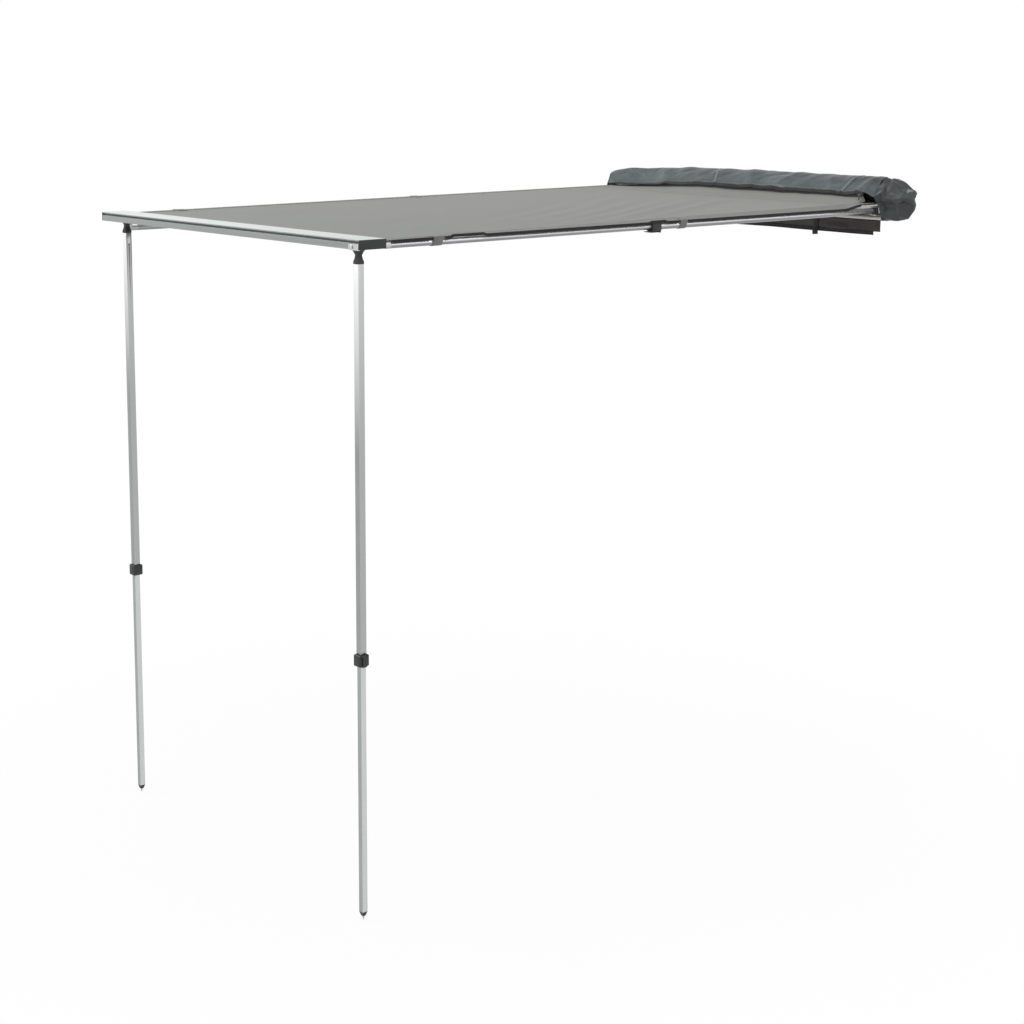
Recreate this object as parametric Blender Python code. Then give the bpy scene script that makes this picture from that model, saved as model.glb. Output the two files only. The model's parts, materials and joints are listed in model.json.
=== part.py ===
"""A pull-out side awning for a vehicle's roof, deployed: metres, +Z up.

X runs along the front beam (the near end is +X), Y from the beam to the vehicle, Z up.
The origin is the centre of the back plate's rear face, where the awning is held.
"""

import math

import bmesh
import bpy
from mathutils import Matrix, Vector

# Driving sizes
AWNING_LENGTH = 1.400  # front beam over its end caps, and the back plate
REACH = 2.400  # back plate's rear face to the beam's front face
GROUND_DROP = 2.025  # back plate's centre to the ground
BEAM_TOP = 0.005  # beam's top face above the back plate's centre
GAP = 0.0003  # between meshes that touch
ROUND_SIDES = 24
SMALL_SIDES = 16
THROUGH = 0.004  # how far a cutter runs past the face that it opens

# Front beam section
LANE_WIDTH = 0.045  # one leg channel
BEAM_WALL = 0.002
BEAM_HEIGHT = 0.028
GROOVE_LIP = 0.0035
GROOVE_HEIGHT = 0.006
GROOVE_DEPTH = 0.005
CANOPY_SLOT_DROP = 0.008  # beam's top to the canopy slot
BEAM_CAP = 0.003
CAP_TONGUE = 0.008

# Canopy beads and their slots, the same in the beam and the back plate
BEAD_RADIUS = 0.0023
SLOT_CLEARANCE = 0.0003
CANOPY_THICKNESS = 0.0015
SLOT_WALL = 0.0015

# Back plate section
PLATE_HEIGHT = 0.100
PLATE_WALL = 0.003
PLATE_LIP_REACH = 0.030
PLATE_LIP_RISE = 0.011
PLATE_FLANGE = 0.0025
PLATE_TOP_REACH = 0.012
RAIL_HEIGHT = 0.011  # canopy rail above the plate's centre
BOLT_SLOT_HEIGHT = 0.035  # bolt slot above the plate's centre
BOLT_SLOT_MOUTH = 0.0088
BOLT_HEAD_CLEARANCE = 0.0004

# Arms
ARM_INSET = 0.017  # arm axis in from the plate's end
NEAR_ARM_DROP = 0.016  # near arm's axis under the plate's centre
ARM_STAGGER = 0.035  # far arm under the near one, so that they fold past each other
NEAR_PIVOT_REACH = 0.045
FAR_PIVOT_REACH = 0.085
ARM_OUTER_RADIUS = 0.011
ARM_INNER_RADIUS = 0.0095
ARM_WALL = 0.0012
ARM_LOCK_REACH = 1.175  # back plate's rear face to the lock block
ARM_LOCK_LENGTH = 0.040
ARM_LOCK_HALF = 0.014
ARM_OVERLAP = 0.090  # inner tube hidden in the outer one
EYE_RADIUS = 0.012
EYE_HEIGHT = 0.024
EYE_SHANK = 0.018
SPIGOT_LENGTH = 0.015
TONGUE_HALF = 0.005
TONGUE_LENGTH = 0.023
SOCKET_WALL = 0.003
SOCKET_DEPTH = 0.017
SOCKET_CLEARANCE = 0.0004
SOCKET_RIVET_SPACING = 0.009

# Hinge brackets of the arms
BRACKET_SHEET = 0.003
BRACKET_WIDTH = 0.026
BRACKET_FLANGE_RISE = 0.028
EAR_CLEARANCE = 0.0005
PIN_RADIUS = 0.0039
PIN_HEAD_RADIUS = 0.0065
PIN_HEAD_HEIGHT = 0.002
RIVET_RADIUS = 0.002
RIVET_HEAD_RADIUS = 0.0038
RIVET_HEAD_HEIGHT = 0.0015
HEAD_CROWN = 0.8  # top of a pin's head against its rim

# Legs
LEG_INSET = 0.036  # leg pivot in from the beam's end
LEG_PIVOT_DROP = 0.021  # beam's top to the leg pivot
LEG_OUTER = 0.022  # square, over the flats
LEG_INNER = 0.019
LEG_WALL = 0.0012
LEG_CORNER = 0.002
LEG_TUBE_START = 0.049  # pivot to the upper tube's top end
LEG_COLLAR_DROP = 1.189  # pivot to the collar's top
COLLAR_HEIGHT = 0.036
COLLAR_HALF_DEPTH = 0.017
COLLAR_BACK = 0.015
COLLAR_FRONT = 0.0133
COLLAR_CHAMFER = 0.003
LEG_OVERLAP = 0.120
KNUCKLE_RADIUS = 0.017
KNUCKLE_HALF = 0.012
KNUCKLE_NECK = 0.007
KNUCKLE_NECK_DROP = 0.024
KNUCKLE_SHOULDER = 0.006
KNUCKLE_INSERT = 0.052
KNUCKLE_ARC_START = 12  # degrees from the top to the first section of its round head
KNUCKLE_ARC_STEP = 13.8
KNUCKLE_ARC_SECTIONS = 11
BUTTON_DROP = 0.038
BUTTON_RADIUS = 0.003
FOOT_HEIGHT = 0.013
FOOT_END_HALF = 0.0055
SPIKE_LENGTH = 0.0137
SPIKE_RADIUS = 0.004
SPIKE_TIP = 0.001
SPIKE_STEM = 0.0025

# Leg brackets on the beam
CLIP_SHEET = 0.0015
CLIP_LENGTH = 0.046
FAR_CLIP_LENGTH = 0.034
CLIP_TOP_DROP = 0.012
CLIP_INNER_DROP = 0.001
CLIP_RIVET_INSET = 0.007  # rivet in from the clip's end
CLIP_RIVET_DROP = 0.0035

# Cam levers
LUG_RISE = 0.0030  # lock's face to the lever's axle
LUG_THICKNESS = 0.0030
LUG_SINK = 0.0010
AXLE_RADIUS = 0.0013
BARREL_RADIUS = 0.0024
LOCK_CORNER = 0.0025
LEVER_SHEET = 0.0022
LEVER_HALF = 0.008
LEVER_TAPER = 0.7  # where the lever starts to thin, as a share of its length
LEVER_OVERHANG = 0.018  # arm lever past its block
COLLAR_LEVER_OVERHANG = 0.001

# Bar brackets behind the back plate
BAR_BRACKET_X = 0.350
BAR_BRACKET_WIDTH = 0.050
BAR_BRACKET_SHEET = 0.004
BAR_BRACKET_REACH = 0.066
BAR_BRACKET_RISE = 0.047
BOLT_RADIUS = 0.0039
BOLT_HOLE_RADIUS = 0.0042
BAR_SLOT_SPACING = 0.026
HEX_RADIUS = 0.0075
HEX_HEIGHT = 0.0053
BOLT_END = 0.0045  # bolt beyond its nut
BAR_SLOT_HALF = 0.0045
BAR_SLOT_LENGTH = 0.022

# Cover
COVER_SHEET = 0.002
HOOD_CREST = 0.105
HOOD_REACH = 0.100
HOOD_EDGE = 0.055
HOOD_BACK = 0.012
HOOD_BULGE = 0.012
HOOD_DROOP_START = -0.1  # where the cover starts to sink towards its far end
HOOD_FAR_REACH = 0.030
HOOD_FAR_EDGE = 0.024
HOOD_FAR_SINK = 0.020
HOOD_CORNER_LENGTH = 0.140  # the round corner of the far end, along the plate
HOOD_CORNER_DROP = 0.023
HOOD_STEPS = 4
HOOD_STATIONS = 20
COVER_END_LENGTH = 0.125  # crumpled cloth beyond the near end of the plate
FAR_COVER_END_LENGTH = 0.014
COVER_END_FRONT = ((-0.027, -0.050), (-0.036, -0.006), (-0.066, 0.026), (-0.088, 0.048))  # (y, z) points
FAR_COVER_END_FRONT = ((-0.027, -0.050), (-0.030, -0.012), (-0.034, 0.026))
COVER_END_SHOULDER = (-0.048, 0.93)  # y, and z as a share of the crest
FAR_COVER_END_SHOULDER = (-0.016, 0.92)
COVER_END_BACK = ((0.024, 0.75), (0.016, 0.0))
COVER_END_MIDDLE = (-0.018, 0.028)
COVER_END_RINGS = ((0.0, 1.0), (0.30, 1.02), (0.60, 0.92), (0.84, 0.68), (1.0, 0.40))  # length, size
FLAP_DROP = 0.098
ZIP_WIDTH = 0.013
ZIP_SHEET = 0.0012
ZIP_BEAD = 0.0018
ZIP_INSET = 0.030
ZIP_HANG = 70  # degrees below the horizontal
ZIP_LIE = 5
SLIDER_LENGTH = 0.012
SLIDER_WALL = 0.0012
PULL_LENGTH = 0.014
STRAP_X = 0.405
STRAP_WIDTH = 0.025
STRAP_DROP = 0.118

# Canopy
HEM_WIDTH = 0.026
HEM_HALF = 0.0025
CANOPY_SAG = 0.003
CANOPY_RIPPLE = 0.0015
CANOPY_RIPPLES = 5
CANOPY_STEPS_X = 18
CANOPY_STEPS_Y = 22
CANOPY_MARGIN = 0.010  # flat cloth beside each slot
TAB_SHEET = 0.0015
TAB_SLACK = 0.0012
FRONT_TAB_INSET = 0.290  # beam's front face to the middle of the tab
FRONT_TAB_WIDTH = 0.036
REAR_TAB_INSET = 0.104  # middle of the tab to the lock block
REAR_TAB_WIDTH = 0.031

# Places that follow from the sizes
BEAM_DEPTH = 2 * LANE_WIDTH + 3 * BEAM_WALL
BEAM_FRONT = -REACH
BEAM_REAR = BEAM_FRONT + BEAM_DEPTH
BEAM_BOTTOM = BEAM_TOP - BEAM_HEIGHT
BEAM_END = AWNING_LENGTH / 2
PLATE_END = BEAM_END
PLATE_FRONT = -PLATE_WALL
ARM_X = PLATE_END - ARM_INSET
LEG_X = BEAM_END - LEG_INSET
LEG_PIVOT_Z = BEAM_TOP - LEG_PIVOT_DROP
CANOPY_FRONT_Z = BEAM_TOP - CANOPY_SLOT_DROP
CANOPY_REAR_Z = RAIL_HEIGHT
SLOT_HALF = BEAD_RADIUS + SLOT_CLEARANCE
MOUTH_HALF = CANOPY_THICKNESS / 2 + SLOT_CLEARANCE
FRONT_BEAD_Y = BEAM_REAR - SLOT_WALL - SLOT_HALF
RAIL_DEPTH = 2 * SLOT_HALF + SLOT_WALL
REAR_BEAD_Y = PLATE_FRONT - SLOT_HALF
CANOPY_HALF = ARM_X - HEM_WIDTH / 2 - GAP
ARM_JOIN_Y = -ARM_LOCK_REACH - ARM_LOCK_LENGTH / 2
FRONT_TAB_REACH = REACH - FRONT_TAB_INSET
REAR_TAB_REACH = ARM_LOCK_REACH - REAR_TAB_INSET
SOCKET_Y = BEAM_REAR + GAP
TONGUE_END_Y = SOCKET_Y + SOCKET_WALL + SOCKET_CLEARANCE
INNER_TUBE_END_Y = TONGUE_END_Y + TONGUE_LENGTH

CLIP_END = BEAM_END - BEAM_CAP - GAP
FAR_CLIP_END = ARM_X - ARM_INNER_RADIUS - GAP  # clear of the far arm's socket
BOLT_SLOT_WIDTH = 2 * (HEX_RADIUS * math.cos(math.pi / 6) + BOLT_HEAD_CLEARANCE)
BOLT_SLOT_DEPTH = HEX_HEIGHT + BOLT_HEAD_CLEARANCE

SIDES = {
    "near": {"sign": 1, "pivot_reach": NEAR_PIVOT_REACH, "arm_z": -NEAR_ARM_DROP,
             "leg_y": BEAM_FRONT + BEAM_WALL + LANE_WIDTH / 2, "wall": -1,
             "clip": (CLIP_END - CLIP_LENGTH, CLIP_END), "clip_rivet": CLIP_END - CLIP_RIVET_INSET},
    "far": {"sign": -1, "pivot_reach": FAR_PIVOT_REACH, "arm_z": -NEAR_ARM_DROP - ARM_STAGGER,
            "leg_y": BEAM_REAR - BEAM_WALL - LANE_WIDTH / 2, "wall": 1,
            "clip": (FAR_CLIP_END - FAR_CLIP_LENGTH, FAR_CLIP_END),
            "clip_rivet": FAR_CLIP_END - FAR_CLIP_LENGTH + CLIP_RIVET_INSET},
}

FINISHES = {
    "pale_aluminium": ((0.72, 0.74, 0.73), 0.32, 1.0),
    "bright_tube": ((0.66, 0.67, 0.68), 0.25, 1.0),
    "zinc_steel": ((0.55, 0.56, 0.57), 0.35, 1.0),
    "black_plastic": ((0.035, 0.037, 0.038), 0.5, 0.0),
    "canopy_cloth": ((0.31, 0.315, 0.30), 0.85, 0.0),
    "hem_cloth": ((0.03, 0.03, 0.03), 0.8, 0.0),
    "tab_cloth": ((0.26, 0.265, 0.26), 0.9, 0.0),
    "cover_sheet": ((0.075, 0.09, 0.092), 0.45, 0.0),
    "webbing": ((0.02, 0.02, 0.02), 0.8, 0.0),
}


def clear_scene():
    """Removes the objects of the file that runs the script."""
    for thing in list(bpy.data.objects):
        bpy.data.objects.remove(thing, do_unlink=True)


def finish(name):
    """Returns the material of that name, made once."""
    material = bpy.data.materials.get(name)
    if material is None:
        colour, roughness, metallic = FINISHES[name]
        material = bpy.data.materials.new(name)
        material.use_nodes = True
        shader = material.node_tree.nodes["Principled BSDF"]
        shader.inputs["Base Color"].default_value = (*colour, 1.0)
        shader.inputs["Roughness"].default_value = roughness
        shader.inputs["Metallic"].default_value = metallic
        material.diffuse_color = (*colour, 1.0)
    return material


def axis_at(name, place, parent=None):
    """Makes an empty on a joint's axis, at a world place."""
    empty = bpy.data.objects.new(name, None)
    empty.empty_display_size = 0.05
    bpy.context.scene.collection.objects.link(empty)
    empty.location = Vector(place)
    if parent is not None:
        empty.parent = parent
        empty.location = Vector(place) - Vector(parent["place"])
    empty["place"] = list(place)
    return empty


def add(name, shape, surface, parent=None, smooth=False):
    """Turns a bmesh in world coordinates into a named object under a joint's empty."""
    bmesh.ops.recalc_face_normals(shape, faces=shape.faces)
    mesh = bpy.data.meshes.new(name)
    shape.to_mesh(mesh)
    shape.free()
    if surface is not None:
        mesh.materials.append(finish(surface))
    piece = bpy.data.objects.new(name, mesh)
    bpy.context.scene.collection.objects.link(piece)
    if parent is not None:
        piece.parent = parent
        piece.matrix_parent_inverse = Matrix.Translation(-Vector(parent["place"]))
    if smooth:
        mesh.shade_smooth()
        mesh.set_sharp_from_angle(angle=math.radians(35))
    return piece


def tool(name, shape):
    """Makes a hidden object that another one is cut with or joined to."""
    piece = add(name, shape, None)
    piece.hide_render = True
    piece.display_type = "WIRE"
    return piece


def shape_with(piece, other, operation):
    """Adds an exact Boolean with the other object."""
    change = piece.modifiers.new(operation.lower(), "BOOLEAN")
    change.operation = operation
    change.solver = "EXACT"
    change.object = other


def cut(piece, shape):
    """Cuts a bmesh out of an object."""
    shape_with(piece, tool(piece.name + "_cutter", shape), "DIFFERENCE")


def fuse(piece, shape):
    """Joins a bmesh to an object."""
    shape_with(piece, tool(piece.name + "_joined", shape), "UNION")


def place_point(axis, along, first, second):
    """Returns a point from its place along an axis and in the plane across it.

    Across X the plane's axes are Y and Z, across Y they are X and Z, across Z they are X and Y.
    """
    if axis == "X":
        return Vector((along, first, second))
    if axis == "Y":
        return Vector((first, along, second))
    return Vector((first, second, along))


def loft(sections, axis, shape=None):
    """Joins rings of points, each at its place along the axis, into a closed solid.

    sections is a list of (place along the axis, [(first, second), ...]) with equal counts.
    """
    shape = shape or bmesh.new()
    rings = [[shape.verts.new(place_point(axis, along, *p)) for p in ring] for along, ring in sections]
    for low, high in zip(rings, rings[1:]):
        for i in range(len(low)):
            j = (i + 1) % len(low)
            shape.faces.new((low[i], low[j], high[j], high[i]))
    shape.faces.new(rings[0][::-1])
    shape.faces.new(rings[-1])
    return shape


def prism(outline, axis, low, high, shape=None):
    """Extrudes an outline along an axis."""
    return loft([(low, outline), (high, outline)], axis, shape)


def box(low, high, shape=None):
    """Makes a box between two corners."""
    outline = [(low[1], low[2]), (high[1], low[2]), (high[1], high[2]), (low[1], high[2])]
    return prism(outline, "X", low[0], high[0], shape)


def circle(first, second, radius, sides=ROUND_SIDES, turn=0.0):
    """Returns the points of a circle."""
    step = 2 * math.pi / sides
    return [(first + radius * math.cos(turn + i * step), second + radius * math.sin(turn + i * step))
            for i in range(sides)]


def rounded_square(first, second, half, corner):
    """Returns a square outline with rounded corners, four points a corner."""
    points = []
    for quarter in range(4):
        start = quarter * math.pi / 2
        middle = start + math.pi / 4
        reach = (half - corner) * math.sqrt(2)
        centre = (first + reach * math.cos(middle), second + reach * math.sin(middle))
        points += [(centre[0] + corner * math.cos(start + i * math.pi / 6),
                    centre[1] + corner * math.sin(start + i * math.pi / 6)) for i in range(4)]
    return points


def rod(axis, first, second, radius, low, high, sides=ROUND_SIDES, shape=None):
    """Makes a round rod along an axis."""
    return prism(circle(first, second, radius, sides), axis, low, high, shape)


def tube(axis, outer, inner, low, high, shape=None):
    """Makes a tube from its outer and inner outlines, which have equal counts."""
    shape = shape or bmesh.new()
    rings = [[shape.verts.new(place_point(axis, along, *p)) for p in outline]
             for along, outline in ((low, outer), (high, outer), (high, inner), (low, inner))]
    for i, ring in enumerate(rings):
        following = rings[(i + 1) % len(rings)]
        for a in range(len(ring)):
            b = (a + 1) % len(ring)
            shape.faces.new((ring[a], ring[b], following[b], following[a]))
    return shape


def headed_pin(axis, first, second, low, high, radius=PIN_RADIUS, head=PIN_HEAD_RADIUS,
               head_height=PIN_HEAD_HEIGHT, shape=None):
    """Makes a pin with a head outside each end of its grip."""
    ring = circle(first, second, radius, SMALL_SIDES)
    wide = circle(first, second, head, SMALL_SIDES)
    soft = circle(first, second, head * HEAD_CROWN, SMALL_SIDES)
    sections = [(low - head_height, soft), (low - head_height / 2, wide), (low, wide), (low, ring),
                (high, ring), (high, wide), (high + head_height / 2, wide), (high + head_height, soft)]
    return loft(sections, axis, shape)


# Back plate


def back_plate():
    """The aluminium section that the vehicle carries."""
    half = PLATE_HEIGHT / 2
    lip_y = -PLATE_LIP_REACH
    rail_y = PLATE_FRONT - RAIL_DEPTH
    rail_half = SLOT_HALF + SLOT_WALL
    chamber_rear = PLATE_FRONT
    chamber_front = PLATE_FRONT - 2 * SLOT_HALF
    slot_low = BOLT_SLOT_HEIGHT - BOLT_SLOT_WIDTH / 2
    slot_high = BOLT_SLOT_HEIGHT + BOLT_SLOT_WIDTH / 2
    mouth_low = BOLT_SLOT_HEIGHT - BOLT_SLOT_MOUTH / 2
    mouth_high = BOLT_SLOT_HEIGHT + BOLT_SLOT_MOUTH / 2
    pocket = PLATE_FRONT - BOLT_SLOT_DEPTH
    skin = SLOT_WALL
    outline = [
        (0, -half), (0, mouth_low), (PLATE_FRONT + GAP, mouth_low), (PLATE_FRONT + GAP, slot_low),
        (pocket, slot_low), (pocket, slot_high), (PLATE_FRONT + GAP, slot_high),
        (PLATE_FRONT + GAP, mouth_high), (0, mouth_high), (0, half),
        (-PLATE_TOP_REACH, half), (-PLATE_TOP_REACH, half - PLATE_FLANGE),
        (pocket - skin, half - PLATE_FLANGE), (pocket - skin, slot_low - skin),
        (PLATE_FRONT, slot_low - skin), (PLATE_FRONT, RAIL_HEIGHT + rail_half),
        (rail_y, RAIL_HEIGHT + rail_half), (rail_y, RAIL_HEIGHT + MOUTH_HALF),
        (chamber_front, RAIL_HEIGHT + MOUTH_HALF), (chamber_front, RAIL_HEIGHT + SLOT_HALF),
        (chamber_rear, RAIL_HEIGHT + SLOT_HALF), (chamber_rear, RAIL_HEIGHT - SLOT_HALF),
        (chamber_front, RAIL_HEIGHT - SLOT_HALF), (chamber_front, RAIL_HEIGHT - MOUTH_HALF),
        (rail_y, RAIL_HEIGHT - MOUTH_HALF), (rail_y, RAIL_HEIGHT - rail_half),
        (PLATE_FRONT, RAIL_HEIGHT - rail_half), (PLATE_FRONT, -half + PLATE_FLANGE),
        (lip_y + PLATE_FLANGE, -half + PLATE_FLANGE), (lip_y + PLATE_FLANGE, -half + PLATE_LIP_RISE),
        (lip_y, -half + PLATE_LIP_RISE), (lip_y, -half),
    ]
    plate = add("back_plate", prism(outline, "X", -PLATE_END, PLATE_END), "pale_aluminium")
    cut(plate, rivet_holes())
    return plate


def arm_rivet_places():
    """Returns (x, z) of the rivets that hold the arm hinge brackets."""
    places = []
    for side in SIDES.values():
        middle = side["sign"] * ARM_X
        z = side["arm_z"] if side["sign"] > 0 else far_flange_top() - BRACKET_FLANGE_RISE / 3
        places += [(middle + shift, z) for shift in (-BRACKET_WIDTH / 4, BRACKET_WIDTH / 4)]
    return places


def rivet_holes():
    """Returns the holes for the arm brackets' rivets, as one cutter."""
    shape = bmesh.new()
    for x, z in arm_rivet_places():
        rod("Y", x, z, RIVET_RADIUS + GAP, PLATE_FRONT - BRACKET_SHEET - THROUGH, THROUGH, SMALL_SIDES, shape)
    return shape


def ear_heights(side):
    """Returns the inner faces of a hinge bracket's lower and upper ears."""
    reach = EYE_HEIGHT / 2 + EAR_CLEARANCE
    return side["arm_z"] - reach, side["arm_z"] + reach


def far_flange_top():
    """Returns the top of the far bracket's wall flange."""
    return ear_heights(SIDES["far"])[1] + BRACKET_SHEET + BRACKET_FLANGE_RISE


def near_bracket_outline(side):
    """A plain C of sheet steel, open to the arm."""
    low, high = ear_heights(side)
    wall = PLATE_FRONT - GAP
    tip = -side["pivot_reach"] - EYE_RADIUS
    sheet = BRACKET_SHEET
    return [(wall, low - sheet), (wall, high + sheet), (tip, high + sheet), (tip, high),
            (wall - sheet, high), (wall - sheet, low), (tip, low), (tip, low - sheet)]


def far_bracket_outline(side):
    """A stepped C that passes over the plate's lip and carries the lower arm farther out."""
    low, high = ear_heights(side)
    wall = PLATE_FRONT - GAP
    tip = -side["pivot_reach"] - EYE_RADIUS
    web = -side["pivot_reach"] + EYE_RADIUS + EAR_CLEARANCE + BRACKET_SHEET * 2
    sheet = BRACKET_SHEET
    top = far_flange_top()
    return [(wall, top), (wall, high), (web, high), (web, low - sheet), (tip, low - sheet), (tip, low),
            (web - sheet, low), (web - sheet, high), (tip, high), (tip, high + sheet),
            (wall - sheet, high + sheet), (wall - sheet, top)]


def arm_hinge(name):
    """The bracket that carries an arm, with the set rivets that hold it to the back plate."""
    side = SIDES[name]
    outline = near_bracket_outline(side) if side["sign"] > 0 else far_bracket_outline(side)
    middle = side["sign"] * ARM_X
    bracket = add(name + "_arm_bracket",
                  prism(outline, "X", middle - BRACKET_WIDTH / 2, middle + BRACKET_WIDTH / 2), "zinc_steel")
    rivets = bmesh.new()
    front = PLATE_FRONT - GAP - BRACKET_SHEET
    for x, z in arm_rivet_places():
        if x * side["sign"] > 0:
            ring = circle(x, z, RIVET_RADIUS, SMALL_SIDES)
            wide = circle(x, z, RIVET_HEAD_RADIUS, SMALL_SIDES)
            sunk = front + BRACKET_SHEET / 3
            loft([(front - RIVET_HEAD_HEIGHT, wide), (sunk, wide), (sunk, ring), (-GAP, ring)], "Y", rivets)
    fuse(bracket, rivets)
    low, high = ear_heights(side)
    reach = BRACKET_SHEET + THROUGH
    cut(bracket, rod("Z", middle, -side["pivot_reach"], PIN_RADIUS + GAP, low - reach, high + reach))
    return bracket


def arm_hinge_pin(name):
    """The upright pin that an arm swings on."""
    side = SIDES[name]
    low, high = ear_heights(side)
    grip = BRACKET_SHEET + GAP
    pin = headed_pin("Z", side["sign"] * ARM_X, -side["pivot_reach"], low - grip, high + grip)
    return add(name + "_arm_pin", pin, "zinc_steel", smooth=True)


def bar_bracket(name, sign):
    """An L-shaped steel bracket from the back plate to a roof bar."""
    rear = GAP + BAR_BRACKET_SHEET
    bottom = -BAR_BRACKET_RISE
    outline = [(GAP, bottom), (GAP, BAR_BRACKET_RISE), (rear, BAR_BRACKET_RISE),
               (rear, bottom + BAR_BRACKET_SHEET), (BAR_BRACKET_REACH, bottom + BAR_BRACKET_SHEET),
               (BAR_BRACKET_REACH, bottom)]
    middle = sign * BAR_BRACKET_X
    half = BAR_BRACKET_WIDTH / 2
    bracket = add(name + "_bar_bracket", prism(outline, "X", middle - half, middle + half), "black_plastic")
    holes = rod("Y", middle, BOLT_SLOT_HEIGHT, BOLT_HOLE_RADIUS, -THROUGH, rear + THROUGH)
    slot_end = BAR_BRACKET_REACH - BAR_SLOT_HALF * 2
    for shift in (-BAR_SLOT_SPACING / 2, BAR_SLOT_SPACING / 2):
        box((middle + shift - BAR_SLOT_HALF, slot_end - BAR_SLOT_LENGTH, bottom - THROUGH),
            (middle + shift + BAR_SLOT_HALF, slot_end, bottom + BAR_BRACKET_SHEET + THROUGH), holes)
    cut(bracket, holes)
    return bracket


def hexagon(first, second, radius):
    """Returns a hexagon's corners and the middles of its sides."""
    flat = radius * math.cos(math.pi / 6)
    return [(first + (flat if i % 2 else radius) * math.cos(i * math.pi / 6),
             second + (flat if i % 2 else radius) * math.sin(i * math.pi / 6)) for i in range(12)]


def bar_bolt(name, sign):
    """A bolt whose head slides in the back plate's rear slot, with its nut run down."""
    x = sign * BAR_BRACKET_X
    seat = PLATE_FRONT - GAP
    nut = GAP + BAR_BRACKET_SHEET + GAP
    ring = circle(x, BOLT_SLOT_HEIGHT, BOLT_RADIUS, 12)
    wide = hexagon(x, BOLT_SLOT_HEIGHT, HEX_RADIUS)
    sections = [(seat - HEX_HEIGHT, wide), (seat, wide), (seat, ring), (nut, ring), (nut, wide),
                (nut + HEX_HEIGHT, wide), (nut + HEX_HEIGHT, ring), (nut + HEX_HEIGHT + BOLT_END, ring)]
    return add(name + "_bar_bolt", loft(sections, "Y"), "zinc_steel")


# Cover


def curve_through(points, steps):
    """Returns a smooth curve through the points, with that many steps between each two."""
    ends = [points[0]] + points + [points[-1]]
    curve = []
    for a, b, c, d in zip(ends, ends[1:], ends[2:], ends[3:]):
        for i in range(steps):
            t = i / steps
            curve.append(tuple(
                0.5 * (2 * b[k] + (c[k] - a[k]) * t + (2 * a[k] - 5 * b[k] + 4 * c[k] - d[k]) * t * t
                       + (3 * b[k] - a[k] - 3 * c[k] + d[k]) * t ** 3) for k in range(2)))
    return curve + [points[-1]]


def band(path, thickness):
    """Returns the outline of a sheet that follows a path in a plane."""
    left, right = [], []
    for i, point in enumerate(path):
        before = path[max(i - 1, 0)]
        after = path[min(i + 1, len(path) - 1)]
        run = Vector((after[0] - before[0], after[1] - before[1])).normalized()
        shift = (-run.y * thickness / 2, run.x * thickness / 2)
        left.append((point[0] + shift[0], point[1] + shift[1]))
        right.append((point[0] - shift[0], point[1] - shift[1]))
    return left + right[::-1]


def droop(x):
    """Returns how far the cover has sunk at x, from 0 near the middle to 1 at its far end."""
    share = min(max((HOOD_DROOP_START - x) / (HOOD_DROOP_START + PLATE_END), 0.0), 1.0)
    return share * share * (3 - 2 * share)


def hood_edge(x):
    """Returns the (y, z) of the open cover's front edge."""
    sunk = droop(x)
    return (-HOOD_REACH + (HOOD_REACH - HOOD_FAR_REACH) * sunk,
            HOOD_EDGE + (HOOD_FAR_EDGE - HOOD_EDGE) * sunk)


def hood_crest(x):
    """Returns the height of the cover's crest at x, which sinks and then rounds off at the far end."""
    start = HOOD_CORNER_LENGTH - PLATE_END
    share = min(max((start - x) / HOOD_CORNER_LENGTH, 0.0), 1.0)
    return HOOD_CREST - HOOD_FAR_SINK * droop(x) - HOOD_CORNER_DROP * (1 - math.sqrt(1 - share * share))


def hood_path(x):
    """Returns the open cover's middle line at x, from the back plate to its front edge."""
    edge = hood_edge(x)
    crest = hood_crest(x)
    foot = PLATE_HEIGHT / 2 + GAP + COVER_SHEET / 2
    middle = (edge[0] * 0.5, (crest + edge[1]) / 2 + HOOD_BULGE)
    points = [(-PLATE_TOP_REACH / 3, foot), (HOOD_BACK, (foot + crest) / 2), (0, crest), middle, edge]
    return curve_through(points, HOOD_STEPS)


def cover_hood():
    """The upper half of the cover, folded back over the back plate."""
    stations = [-PLATE_END + i * AWNING_LENGTH / HOOD_STATIONS for i in range(HOOD_STATIONS + 1)]
    return add("cover_hood", loft([(x, band(hood_path(x), COVER_SHEET)) for x in stations], "X"),
               "cover_sheet", smooth=True)


def cover_end(name, sign):
    """A gusset of the cover, crumpled beyond an end of the back plate."""
    start = PLATE_END + GAP
    length = COVER_END_LENGTH if sign > 0 else FAR_COVER_END_LENGTH
    front = COVER_END_FRONT if sign > 0 else FAR_COVER_END_FRONT
    shoulder = COVER_END_SHOULDER if sign > 0 else FAR_COVER_END_SHOULDER
    top = hood_crest(sign * PLATE_END)
    back = [(y, top * share) for y, share in COVER_END_BACK]
    outline = curve_through([*front, (shoulder[0], top * shoulder[1]), (0.0, top), *back,
                             (-PLATE_TOP_REACH / 3, -PLATE_HEIGHT / 2)], 2)
    middle_y, middle_z = COVER_END_MIDDLE
    rings = []
    for share, size in COVER_END_RINGS:
        ring = [(middle_y + (y - middle_y) * size, middle_z + (z - middle_z) * size) for y, z in outline]
        rings.append((sign * (start + length * share), ring))
    return add("cover_end_" + name, loft(rings, "X"), "cover_sheet", smooth=True)


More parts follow.
